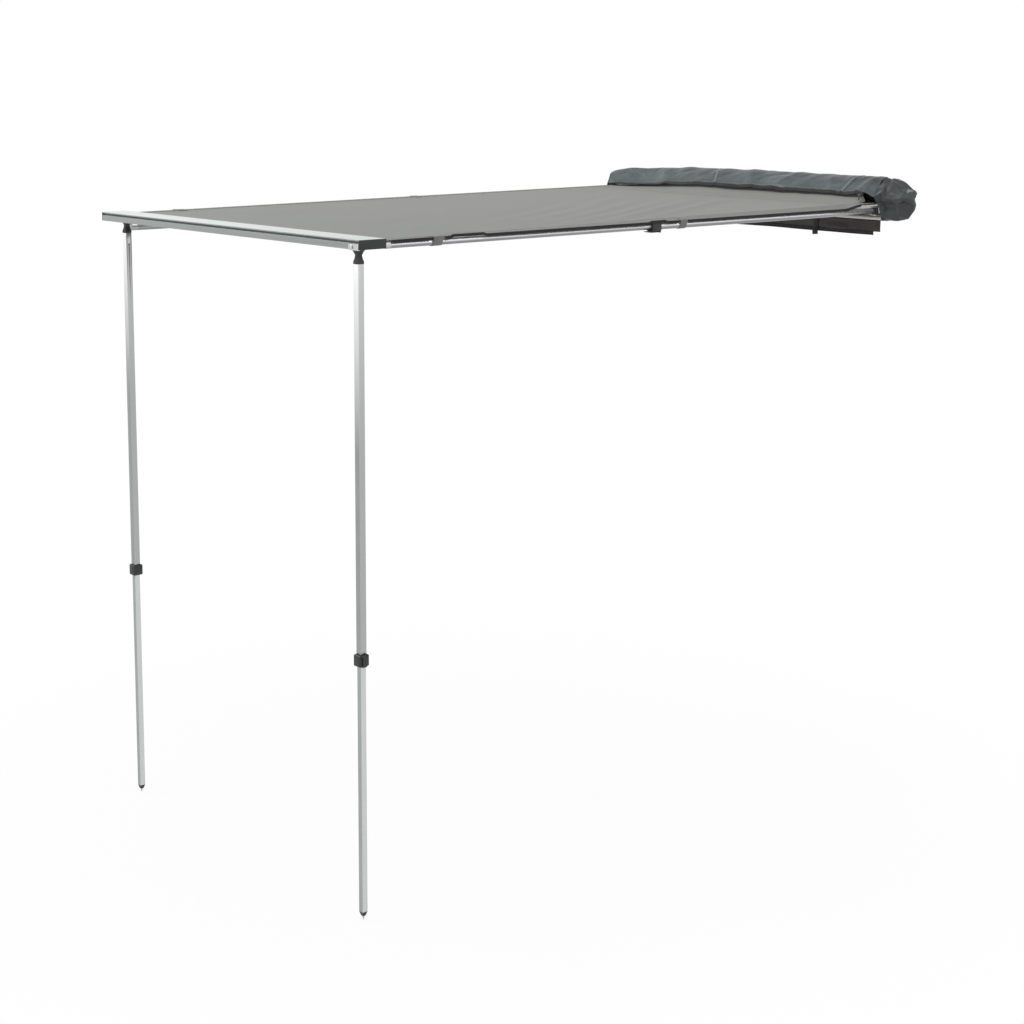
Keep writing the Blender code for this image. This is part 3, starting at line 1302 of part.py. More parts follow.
def arms():
    """Builds both arms on the axes of their hinges, slides and levers."""
    for name, side in SIDES.items():
        x = side["sign"] * ARM_X
        swing = axis_at(name + "_arm_swing_axis", (x, -side["pivot_reach"], side["arm_z"]))
        slide = axis_at(name + "_arm_slide_axis", (x, ARM_JOIN_Y, side["arm_z"]), swing)
        frame = arm_lever_frame(name)
        turn = axis_at(name + "_arm_lever_axis", frame.translation, swing)
        arm_plug(name, swing)
        arm_outer(name, swing)
        arm_lock(name, swing)
        cam_lever(name + "_arm_lever", frame, ARM_LOCK_LENGTH - LUG_RISE + LEVER_OVERHANG, turn)
        arm_inner(name, slide)
        arm_tip(name, slide)


def beam_and_legs():
    """Builds the beam on its slide and the legs on their pins, slides and levers."""
    beam = axis_at("retract_axis", (0, BEAM_FRONT, BEAM_TOP))
    front_beam(beam)
    for name, side in SIDES.items():
        beam_cap(name, side["sign"], beam)
        arm_socket(name, beam)
        leg_clip(name, beam)
        leg_pin(name, beam)
        x = side["sign"] * LEG_X
        fold = axis_at(name + "_leg_fold_axis", (x, side["leg_y"], LEG_PIVOT_Z), beam)
        slide = axis_at(name + "_leg_slide_axis", (x, side["leg_y"], leg_join_z()), fold)
        frame = leg_lever_frame(name)
        turn = axis_at(name + "_leg_lever_axis", frame.translation, fold)
        leg_knuckle(name, fold)
        leg_upper(name, fold)
        leg_collar(name, fold)
        cam_lever(name + "_leg_lever", frame, COLLAR_HEIGHT - LUG_RISE + COLLAR_LEVER_OVERHANG, turn)
        leg_lower(name, slide)
        leg_foot(name, slide)
        leg_spike(name, slide)


def main():
    """Builds the whole awning, set up for use."""
    clear_scene()
    fixed_parts()
    arms()
    beam_and_legs()


if __name__ == "__main__":
    main()
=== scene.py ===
"""Looks of a pull-out side awning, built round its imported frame.

Metres, +Z up. X runs along the front beam with the near end at +X, and Y from the beam to the
vehicle. The origin is the centre of the back plate's rear face.
"""

import json
import logging
import math
import random
from dataclasses import dataclass, field
from enum import Enum
from typing import Callable, Iterable, Optional, Sequence

import bmesh
import bpy
from mathutils import Matrix, Vector, noise


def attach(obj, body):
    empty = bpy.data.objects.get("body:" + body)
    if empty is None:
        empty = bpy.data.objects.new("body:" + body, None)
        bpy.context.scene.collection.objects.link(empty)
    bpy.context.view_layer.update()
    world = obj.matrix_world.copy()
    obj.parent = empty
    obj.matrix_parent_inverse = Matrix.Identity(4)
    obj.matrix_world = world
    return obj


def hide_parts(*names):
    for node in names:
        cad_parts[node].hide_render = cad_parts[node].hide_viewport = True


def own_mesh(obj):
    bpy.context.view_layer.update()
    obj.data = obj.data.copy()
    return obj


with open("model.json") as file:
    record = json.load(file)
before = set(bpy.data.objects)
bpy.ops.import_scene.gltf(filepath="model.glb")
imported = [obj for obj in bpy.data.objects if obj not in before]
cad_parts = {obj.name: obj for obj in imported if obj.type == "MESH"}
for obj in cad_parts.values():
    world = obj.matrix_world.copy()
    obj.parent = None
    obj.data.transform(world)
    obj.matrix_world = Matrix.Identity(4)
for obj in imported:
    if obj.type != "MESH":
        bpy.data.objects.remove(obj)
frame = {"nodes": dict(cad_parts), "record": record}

STITCH_PITCH = 0.0052
UP = Vector((0, 0, 1))
log = logging.getLogger("awning")

Point = tuple[float, float, float]
Colour = tuple[float, float, float]
Surface = Callable[[float, float], Point]
Piece = bpy.types.Object
Socket = bpy.types.NodeSocket


class End(Enum):
    """The two ends of the awning along X."""

    NEAR = "near"
    FAR = "far"

    @property
    def sign(self) -> int:
        """Returns which way the end lies along X."""
        return 1 if self is End.NEAR else -1


class Grain(Enum):
    """The way that a drawn metal's fine lines run."""

    ALONG_X = (0.02, 1.0, 1.0)
    ALONG_Y = (1.0, 0.02, 1.0)
    ALONG_Z = (1.0, 1.0, 0.02)
    NONE = (1.0, 1.0, 1.0)


# Finishes


class NodeBench:
    """A small builder for a node tree."""

    def __init__(self, tree: bpy.types.NodeTree) -> None:
        """Starts on a tree."""
        self.tree = tree

    def add(self, kind: str, inputs: Optional[dict] = None, **settings: object) -> bpy.types.Node:
        """Adds a node.

        Args:
            kind: the node's type.
            inputs: values or sockets for its inputs, by name or number.
            settings: the node's own properties.

        Returns:
            The node.
        """
        node = self.tree.nodes.new(kind)
        for key, value in settings.items():
            setattr(node, key, value)
        for key, value in (inputs or {}).items():
            self.feed(node.inputs[key], value)
        return node

    def feed(self, socket: Socket, value: object) -> None:
        """Links a socket, or sets its value.

        Args:
            socket: the input to feed.
            value: an output socket, a number or a colour.
        """
        if isinstance(value, Socket):
            self.tree.links.new(value, socket)
        elif isinstance(value, tuple) and len(value) == 3 and socket.type == "RGBA":
            socket.default_value = (*value, 1.0)
        else:
            socket.default_value = value

    def maths(self, operation: str, first: object, second: object = 0.0) -> Socket:
        """Returns the result of a sum on two numbers.

        Args:
            operation: the Math node's operation.
            first: a number or a socket.
            second: a number or a socket.
        """
        return self.add("ShaderNodeMath", {0: first, 1: second}, operation=operation).outputs[0]


class Graph(NodeBench):
    """The builder for a surface's material."""

    def __init__(self, name: str) -> None:
        """Starts a material.

        Args:
            name: the material's name.
        """
        self.material = bpy.data.materials.new(name)
        self.material.use_nodes = True
        super().__init__(self.material.node_tree)
        self.shader = self.tree.nodes["Principled BSDF"]

    def set(self, **values: object) -> None:
        """Sets the shader's inputs.

        Args:
            values: values or sockets, with the input's words joined by underscores.
        """
        for key, value in values.items():
            self.feed(self.shader.inputs[key.replace("_", " ")], value)

    def place(self, scale: Point = (1.0, 1.0, 1.0), source: str = "Object") -> Socket:
        """Returns texture coordinates, scaled.

        Args:
            scale: the scale along each axis.
            source: Object or UV.
        """
        coordinates = self.add("ShaderNodeTexCoord")
        mapping = self.add("ShaderNodeMapping", {"Vector": coordinates.outputs[source], "Scale": scale})
        return mapping.outputs["Vector"]

    def noise(self, scale: float, detail: float, vector: Socket,
              roughness: float = 0.5) -> Socket:
        """Returns a noise texture's value.

        Args:
            scale: the noise's scale.
            detail: its number of octaves.
            vector: its coordinates.
            roughness: how strong its fine octaves are.
        """
        node = self.add("ShaderNodeTexNoise", {"Vector": vector, "Scale": scale, "Detail": detail,
                                               "Roughness": roughness})
        return node.outputs["Fac"]

    def spread(self, value: Socket, low: float, high: float,
               start: float = 0.3, stop: float = 0.7) -> Socket:
        """Returns a value mapped from start and stop to low and high.

        Args:
            value: the value to map.
            low: the result at start.
            high: the result at stop.
            start: the value that gives low.
            stop: the value that gives high.
        """
        node = self.add("ShaderNodeMapRange", {"Value": value, "From Min": start, "From Max": stop,
                                               "To Min": low, "To Max": high})
        return node.outputs["Result"]

    def blend(self, share: object, first: object, second: object) -> Socket:
        """Returns a mix of two colours.

        Args:
            share: how much of the second one.
            first: a colour or a socket.
            second: a colour or a socket.
        """
        node = self.add("ShaderNodeMix", data_type="RGBA")
        for socket, value in ((node.inputs[0], share), (node.inputs[6], first), (node.inputs[7], second)):
            self.feed(socket, value)
        return node.outputs[2]

    def emboss(self, height: Socket, strength: float, distance: float,
               normal: Optional[Socket] = None) -> Socket:
        """Returns a normal bumped by a height.

        Args:
            height: the height's socket.
            strength: the bump's strength.
            distance: the height that a value of 1 stands for, in metres.
            normal: the normal to add to.
        """
        inputs = {"Height": height, "Strength": strength, "Distance": distance}
        if normal is not None:
            inputs["Normal"] = normal
        return self.add("ShaderNodeBump", inputs).outputs["Normal"]


@dataclass(frozen=True)
class MetalFinish:
    """A drawn, plated or cast metal."""

    name: str
    colour: Colour
    worn: Colour
    roughness: float
    grain: Grain = Grain.NONE
    grain_scale: float = 900.0
    metallic: float = 1.0
    # Painted top light: a lighter colour blended onto faces by how far they face up, over the span of the
    # normal's Z.
    painted_top_light: Optional[Colour] = None
    painted_top_light_span: tuple[float, float] = (0.25, 0.85)
    # Painted side light: a lighter colour on the faces that face +X.
    painted_side_light: Optional[Colour] = None
    # Painted highlight: a near-white colour towards the top end, strongest on the faces that face -Y.
    painted_highlight: Optional[Colour] = None
    painted_highlight_span: tuple[float, float] = (-0.60, -0.06)

    def tones(self, graph: Graph, base: Socket) -> Socket:
        """Returns the colour with painted light: lighter upward faces as painted top light, a lighter side
        facing +X as painted side light, and a painted highlight towards the top end.

        Args:
            graph: the material's graph.
            base: the plain colour.
        """
        coordinates = graph.add("ShaderNodeTexCoord")
        facing = graph.add("ShaderNodeSeparateXYZ", {"Vector": coordinates.outputs["Normal"]}).outputs
        # Painted side light on the faces that face +X.
        if self.painted_side_light is not None:
            base = graph.blend(graph.spread(facing["X"], 0.0, 1.0, 0.1, 0.9), base, self.painted_side_light)
        # Painted highlight near the top end, strongest on the front faces.
        if self.painted_highlight is not None:
            place = graph.add("ShaderNodeSeparateXYZ", {"Vector": coordinates.outputs["Object"]}).outputs
            high = graph.spread(place["Z"], 0.0, 1.0, *self.painted_highlight_span)
            front = graph.spread(facing["Y"], 1.0, 0.25, -0.9, -0.1)
            base = graph.blend(graph.maths("MULTIPLY", high, front), base, self.painted_highlight)
        # Painted top light on the faces that face up.
        if self.painted_top_light is not None:
            base = graph.blend(graph.spread(facing["Z"], 0.0, 1.0, *self.painted_top_light_span), base, self.painted_top_light)
        return base

    def make(self) -> bpy.types.Material:
        """Builds the material.

        Returns:
            The material.
        """
        graph = Graph(self.name)
        lines = graph.noise(self.grain_scale, 4, graph.place(self.grain.value))
        clouds = graph.noise(9.0, 5, graph.place())
        plain = graph.blend(graph.spread(clouds, 0.0, 0.6), self.colour, self.worn)
        graph.set(Base_Color=self.tones(graph, plain), Metallic=self.metallic,
                  Roughness=graph.spread(lines, self.roughness * 0.8, self.roughness * 1.25),
                  Normal=graph.emboss(lines, 0.12, 0.0002))
        return graph.material


@dataclass(frozen=True)
class MouldedFinish:
    """A moulded plastic with a fine eroded grain."""

    name: str
    colour: Colour
    dusty: Colour
    roughness: float

    def make(self) -> bpy.types.Material:
        """Builds the material.

        Returns:
            The material.
        """
        graph = Graph(self.name)
        grain = graph.noise(1400.0, 3, graph.place())
        dust = graph.noise(22.0, 6, graph.place())
        graph.set(Base_Color=graph.blend(graph.spread(dust, 0.0, 0.5, 0.45, 0.75), self.colour, self.dusty),
                  Roughness=graph.spread(dust, self.roughness, self.roughness + 0.18),
                  Normal=graph.emboss(grain, 0.25, 0.0003))
        return graph.material


@dataclass(frozen=True)
class ClothFinish:
    """A woven cloth whose threads follow its own length and width."""

    name: str
    colour: Colour
    faded: Colour
    threads: float
    roughness: float
    sheen: float = 0.15
    weave_depth: float = 0.00012
    crumple: float = 0.0
    coat: float = 0.0
    # Painted light and shade: a colour blended in along one object axis, over the span.
    painted_light_shade: Optional[Colour] = None
    painted_light_shade_span: tuple[str, float, float] = ("Y", -2.0, -0.5)
    # Painted highlights: pale lines along crease ridges, each given by its UV place at two rows.
    crease_highlights: tuple[tuple[float, float], ...] = ()
    crease_highlight_rows: tuple[float, float] = (0.097, 0.215)
    crease_highlight_colour: Colour = (0.30, 0.33, 0.33)

    def make(self) -> bpy.types.Material:
        """Builds the material. UV coordinates are in metres.

        Returns:
            The material.
        """
        graph = Graph(self.name)
        pitch = 2 * math.pi * self.threads
        cloth = graph.place((1.0, 1.0, 1.0), "UV")
        parts = graph.add("ShaderNodeSeparateXYZ", {"Vector": cloth})
        warp = graph.maths("SINE", graph.maths("MULTIPLY", parts.outputs["X"], pitch))
        weft = graph.maths("SINE", graph.maths("MULTIPLY", parts.outputs["Y"], pitch))
        weave = graph.maths("MULTIPLY", warp, weft)
        clouds = graph.noise(3.5, 6, cloth, 0.6)
        specks = graph.noise(160.0, 3, cloth)
        patchy = graph.maths("ADD", graph.maths("MULTIPLY", clouds, 0.75),
                             graph.maths("MULTIPLY", specks, 0.25))
        normal = graph.emboss(graph.spread(weave, 0.0, 1.0, -1.0, 1.0), 0.35, self.weave_depth)
        if self.crumple:
            folds = graph.noise(26.0, 5, graph.place(), 0.62)
            normal = graph.emboss(folds, 0.6, self.crumple, normal)
        shade = graph.blend(graph.spread(patchy, 0.0, 1.0, 0.35, 0.65), self.colour, self.faded)
        # Painted light and shade along one object axis.
        if self.painted_light_shade is not None:
            axis, start, stop = self.painted_light_shade_span
            spots = graph.add("ShaderNodeSeparateXYZ", {"Vector": graph.place()}).outputs
            shade = graph.blend(graph.spread(spots[axis], 0.0, 1.0, start, stop), shade, self.painted_light_shade)
        # Painted highlights along the crease ridges.
        for first, last in self.crease_highlights:
            place = graph.spread(parts.outputs["Y"], first, last, *self.crease_highlight_rows)
            off = graph.maths("ABSOLUTE", graph.maths("SUBTRACT", parts.outputs["X"], place))
            shade = graph.blend(graph.spread(off, 0.55, 0.0, 0.0012, 0.0050), shade, self.crease_highlight_colour)
        graph.set(Base_Color=shade,
                  Roughness=graph.spread(specks, self.roughness - 0.06, self.roughness + 0.06),
                  Sheen_Weight=self.sheen, Coat_Weight=self.coat, Coat_Roughness=0.35, Normal=normal)
        return graph.material


@dataclass(frozen=True)
class WebbingFinish:
    """A woven strap with ribs across it."""

    name: str
    colour: Colour
    highlight: Colour
    ribs: float
    roughness: float = 0.75

    def make(self) -> bpy.types.Material:
        """Builds the material. UV coordinates are in metres.

        Returns:
            The material.
        """
        graph = Graph(self.name)
        strap = graph.place((1.0, 1.0, 1.0), "UV")
        parts = graph.add("ShaderNodeSeparateXYZ", {"Vector": strap})
        rib = graph.maths("SINE", graph.maths("MULTIPLY", parts.outputs["Y"], 2 * math.pi * self.ribs))
        cord = graph.maths("SINE", graph.maths("MULTIPLY", parts.outputs["X"], math.pi * self.ribs))
        woven = graph.maths("ADD", rib, graph.maths("MULTIPLY", cord, 0.5))
        fuzz = graph.noise(700.0, 3, strap)
        graph.set(Base_Color=graph.blend(graph.spread(graph.maths("ADD", woven, fuzz), 0.0, 0.6, -1.0, 2.0),
                                         self.colour, self.highlight),
                  Roughness=self.roughness, Sheen_Weight=0.2,
                  Normal=graph.emboss(graph.spread(woven, 0.0, 1.0, -1.5, 1.5), 0.5, 0.0002))
        return graph.material


class Palette:
    """Every finish of the awning, each made once."""

    FINISHES = {
        # Painted top light: the beam's upward faces get a much lighter colour.
        "extrusion": MetalFinish(
            "pale_extrusion", (0.37, 0.395, 0.385), (0.33, 0.35, 0.34), 0.38, Grain.ALONG_X,
            metallic=0.75, painted_top_light=(0.66, 0.70, 0.685)),
        # Painted shade: a darker, rougher metal for the faces inside the beam's groove.
        "groove": MetalFinish(
            "extrusion_groove", (0.20, 0.22, 0.215), (0.16, 0.175, 0.17), 0.60, Grain.ALONG_X, metallic=0.4),
        # Painted top light: the plate's upward faces get a lighter colour.
        "plate": MetalFinish(
            "plate_extrusion", (0.60, 0.570, 0.552), (0.53, 0.507, 0.492), 0.34, Grain.ALONG_X,
            metallic=0.75, painted_top_light=(0.82, 0.82, 0.80)),
        # Painted highlight: the arm tubes' upper faces get a near-white colour.
        "tube_along_y": MetalFinish(
            "arm_tube", (0.30, 0.295, 0.315), (0.25, 0.25, 0.265), 0.26, Grain.ALONG_Y,
            metallic=0.75, painted_top_light=(0.95, 0.95, 0.96), painted_top_light_span=(-0.25, 0.30)),
        # Painted side light on the +X side and a painted highlight at the top end of the upper legs.
        "tube_along_z": MetalFinish(
            "leg_tube", (0.35, 0.36, 0.36), (0.29, 0.30, 0.30), 0.28, Grain.ALONG_Z,
            painted_side_light=(0.42, 0.43, 0.43), painted_highlight=(0.98, 0.98, 0.98)),
        # Painted side light: a lighter colour on the lower legs' faces that face +X.
        "lower_tube": MetalFinish(
            "lower_leg_tube", (0.40, 0.42, 0.415), (0.34, 0.355, 0.355), 0.42, Grain.ALONG_Z,
            painted_side_light=(0.60, 0.62, 0.615)),
        "steel": MetalFinish("zinc_plate", (0.50, 0.51, 0.52), (0.42, 0.43, 0.44), 0.34),
        "bright_steel": MetalFinish("bright_rivet", (0.62, 0.63, 0.63), (0.52, 0.53, 0.53), 0.22),
        "black_steel": MetalFinish(
            "black_powder_coat", (0.030, 0.031, 0.033), (0.05, 0.05, 0.052), 0.45, metallic=0.0),
        "zip_metal": MetalFinish("dark_casting", (0.10, 0.10, 0.10), (0.16, 0.16, 0.16), 0.45),
        "moulding": MouldedFinish("black_moulding", (0.022, 0.023, 0.024), (0.07, 0.072, 0.074), 0.42),
        # Painted light: the canvas gets lighter towards the back plate, along object Y.
        "canopy": ClothFinish(
            "canopy_canvas", (0.275, 0.284, 0.274), (0.305, 0.312, 0.300), 900.0, 0.82,
            crumple=0.0006, painted_light_shade=(0.345, 0.345, 0.325)),
        "hem": ClothFinish(
            "black_binding", (0.010, 0.010, 0.011), (0.022, 0.022, 0.023), 700.0, 0.85,
            sheen=0.0, crumple=0.0008),
        # Painted shade: the hood gets darker high up, along object Z; painted highlights: pale lines along
        # two crease ridges.
        "cover": ClothFinish(
            "coated_cover", (0.018, 0.027, 0.029), (0.106, 0.142, 0.145), 800.0, 0.42,
            sheen=0.0, weave_depth=0.00008, crumple=0.003, coat=0.25, painted_light_shade=(0.026, 0.036, 0.038),
            painted_light_shade_span=("Z", 0.072, 0.104), crease_highlights=((0.595, 0.654), (1.303, 1.267))),
        # Painted shade: a darker copy of the cover cloth for the crumpled ends.
        "gusset": ClothFinish(
            "crumpled_cover", (0.016, 0.021, 0.023), (0.066, 0.082, 0.086), 800.0, 0.42,
            sheen=0.0, weave_depth=0.00008, crumple=0.0015, coat=0.2),
        "cover_inside": ClothFinish(
            "coated_cover_inside", (0.018, 0.012, 0.013), (0.048, 0.036, 0.036), 800.0, 0.45,
            sheen=0.0, weave_depth=0.00008, crumple=0.004, coat=0.1),
        "liner": ClothFinish(
            "pale_liner", (0.55, 0.56, 0.54), (0.64, 0.65, 0.63), 800.0, 0.55, crumple=0.001),
        "zip_tape": WebbingFinish("zip_tape", (0.012, 0.012, 0.013), (0.04, 0.04, 0.042), 900.0),
        "zip_teeth": MouldedFinish("zip_teeth", (0.016, 0.016, 0.017), (0.05, 0.05, 0.05), 0.35),
        "webbing": WebbingFinish("strap_webbing", (0.014, 0.014, 0.015), (0.045, 0.045, 0.047), 600.0),
        "tab": WebbingFinish("tab_webbing", (0.24, 0.245, 0.24), (0.34, 0.345, 0.335), 600.0),
        "thread": ClothFinish("stitching_thread", (0.02, 0.02, 0.02), (0.04, 0.04, 0.04), 3000.0, 0.6),
    }

    def __init__(self) -> None:
        """Starts with nothing made."""
        self.made: dict[str, bpy.types.Material] = {}

    def get(self, name: str) -> bpy.types.Material:
        """Returns the material of a finish.

        Args:
            name: a key of FINISHES.

        Returns:
            The material.
        """
        if name not in self.made:
            self.made[name] = self.FINISHES[name].make()
        return self.made[name]


# Meshes


def new_object(name: str, data: bpy.types.ID) -> Piece:
    """Puts data into the scene as an object at the origin.

    Args:
        name: the object's name.
        data: its mesh, camera or lamp.

    Returns:
        The object.
    """
    piece = bpy.data.objects.new(name, data)
    bpy.context.scene.collection.objects.link(piece)
    return piece


def mesh_object(name: str, points: Sequence[Point], faces: Sequence[Sequence[int]],
                uvs: Optional[Sequence[tuple[float, float]]] = None) -> Piece:
    """Makes a mesh object at the origin.

    Args:
        name: the piece's name.
        points: the vertices.
        faces: the faces, as vertex numbers.
        uvs: one UV point for each vertex, in metres.

    Returns:
        The object.
    """
    mesh = bpy.data.meshes.new(name)
    mesh.from_pydata(points, [], faces)
    if uvs is not None:
        layer = mesh.uv_layers.new(name="UVMap")
        for loop in mesh.loops:
            layer.data[loop.index].uv = uvs[loop.vertex_index]
    mesh.shade_smooth()
    return new_object(name, mesh)


def grid_faces(columns: int, rows: int) -> list[tuple[int, int, int, int]]:
    """Returns the faces of a grid of vertices that are numbered row by row.

    Args:
        columns: vertices in a row.
        rows: the number of rows.
    """
    return [(r * columns + c, r * columns + c + 1, (r + 1) * columns + c + 1, (r + 1) * columns + c)
            for r in range(rows - 1) for c in range(columns - 1)]


def tube_faces(around: int, rings: int) -> list[tuple[int, int, int, int]]:
    """Returns the faces between rings of vertices that are numbered ring by ring.

    Args:
        around: vertices in a ring.
        rings: the number of rings.
    """
    return [(i * around + k, i * around + (k + 1) % around, (i + 1) * around + (k + 1) % around,
             (i + 1) * around + k) for i in range(rings - 1) for k in range(around)]


def cloth_sheet(name: str, surface: Surface, size: tuple[float, float], steps: tuple[int, int],
                thickness: float) -> Piece:
    """Makes a sheet of cloth from a function, closed by its thickness.

    Args:
        name: the piece's name.
        surface: gives the point at shares u and v, from 0 to 1.
        size: the cloth's size along u and v, in metres, for its UV map.
        steps: grid steps along u and v.
        thickness: the cloth's thickness.

    Returns:
        The object.
    """
    columns, rows = steps[0] + 1, steps[1] + 1
    shares = [(c / steps[0], r / steps[1]) for r in range(rows) for c in range(columns)]
    points = [surface(u, v) for u, v in shares]
    uvs = [(u * size[0], v * size[1]) for u, v in shares]
    piece = mesh_object(name, points, grid_faces(columns, rows), uvs)
    wall = piece.modifiers.new("thickness", "SOLIDIFY")
    wall.thickness = thickness
    wall.offset = 0.0
    wall.use_even_offset = True
    return bake(piece)


def bake(piece: Piece) -> Piece:
    """Turns an object's evaluated mesh into its plain mesh and drops its modifiers.

    Args:
        piece: the object.

    Returns:
        The same object.
    """
    bpy.context.view_layer.update()
    shape = piece.evaluated_get(bpy.context.evaluated_depsgraph_get())
    mesh = bpy.data.meshes.new_from_object(shape)
    piece.modifiers.clear()
    piece.data = mesh
    mesh.name = piece.name
    return piece


def dress(piece: Piece, material: bpy.types.Material) -> Piece:
    """Gives an object one material.

    Args:
        piece: the object.
        material: its material.

    Returns:
        The same object.
    """
    piece.data.materials.clear()
    piece.data.materials.append(material)
    return piece


def enrol(piece: Piece, slot: str, node: str = "", body: str = "root") -> None:
    """Says what a finished piece belongs to.

    Args:
        piece: the piece.
        slot: its material slot in the record; not used.
        node: the CAD node that it stands for, if any.
        body: the body that carries it.
    """
    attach(piece, body)
    if node:
        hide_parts(node)


@dataclass(frozen=True)
class Sheet:
    """One sheet of cloth: its flat size, grid and thickness, and what it is and rests on."""

    name: str
    size: tuple[float, float]
    steps: tuple[int, int]
    thickness: float
    finish: str
    slot: str
    held: str
    rests_on: tuple[str, ...]
    node: str = ""

    def make(self, surface: Surface, palette: "Palette") -> Piece:
        """Args:
            surface: gives the cloth's point at shares u and v.
            palette: the finishes.

        Returns:
            The piece.
        """
        piece = cloth_sheet(self.name, surface, self.size, self.steps, self.thickness)
        dress(piece, palette.get(self.finish))
        enrol(piece, self.slot, self.node)
        list(self.rests_on)
        return piece


def swept(name: str, path: Sequence[Vector], section: Sequence[tuple[float, float]],
          up: Vector) -> Piece:
    """Sweeps a closed section along a path and closes its ends.

    Args:
        name: the piece's name.
        path: the points of the path.
        section: the section's points, sideways and up.
        up: the direction that the section's second number follows.

    Returns:
        The object, with a UV map in metres along the path.
    """
    points, uvs, run, count = [], [], 0.0, len(section)
    for i, place in enumerate(path):
        before, after = path[max(i - 1, 0)], path[min(i + 1, len(path) - 1)]
        along = (after - before).normalized()
        side = along.cross(up).normalized()
        rise = side.cross(along).normalized()
        run += (place - path[i - 1]).length if i else 0.0
        around = 0.0
        for k, (a, b) in enumerate(section):
            points.append(tuple(place + side * a + rise * b))
            around += math.dist(section[k - 1], section[k]) if k else 0.0
            uvs.append((around, run))
    faces = tube_faces(count, len(path))
    faces += [tuple(range(count))[::-1], tuple(range((len(path) - 1) * count, len(path) * count))]
    piece = mesh_object(name, points, faces, uvs)
    tidy_normals(piece)
    return piece


def tidy_normals(piece: Piece) -> None:
    """Points a closed mesh's faces outwards.

    Args:
        piece: the object.
    """
    shape = bmesh.new()
    shape.from_mesh(piece.data)
    bmesh.ops.recalc_face_normals(shape, faces=shape.faces)
    shape.to_mesh(piece.data)
    shape.free()


def smooth_path(points: Sequence[Sequence[float]], steps: int) -> list[Vector]:
    """Returns a smooth curve through points.

    Args:
        points: the points that it passes.
        steps: steps between each two of them.

    Returns:
        The curve's points.
    """
    ends = [Vector(points[0])] + [Vector(p) for p in points] + [Vector(points[-1])]
    curve = []
    for a, b, c, d in zip(ends, ends[1:], ends[2:], ends[3:]):
        for i in range(steps):
            t = i / steps
            curve.append(0.5 * (2 * b + (c - a) * t + (2 * a - 5 * b + 4 * c - d) * t * t
                                + (3 * b - a - 3 * c + d) * t ** 3))
    return curve + [Vector(points[-1])]


def smoothstep(low: float, high: float, value: float) -> float:
    """Returns 0 below low, 1 above high, and a smooth rise between them.

    Args:
        low: where the rise starts.
        high: where it ends.
        value: the value.
    """
    share = min(max((value - low) / (high - low), 0.0), 1.0)
    return share * share * (3 - 2 * share)


def rumple(x: float, y: float, z: float, seed: float = 0.0) -> float:
    """Returns smooth noise from about -1 to 1 at a point.

    Args:
        x: first coordinate, already scaled.
        y: second coordinate.
        z: third coordinate.
        seed: moves the noise.
    """
    return noise.noise(Vector((x + seed, y - seed, z + seed * 0.5)))


@dataclass(frozen=True)
class Wave:
    """A smooth unevenness of a cloth: its height, and how quickly it changes along and down it."""

    height: float
    along: float
    down: float
    seed: float

    def at(self, x: float, y: float = 0.0) -> float:
        """Returns the wave's height at a place."""
        return self.height * rumple(x * self.along, y * self.down, 0.0, self.seed)


# Geometry nodes


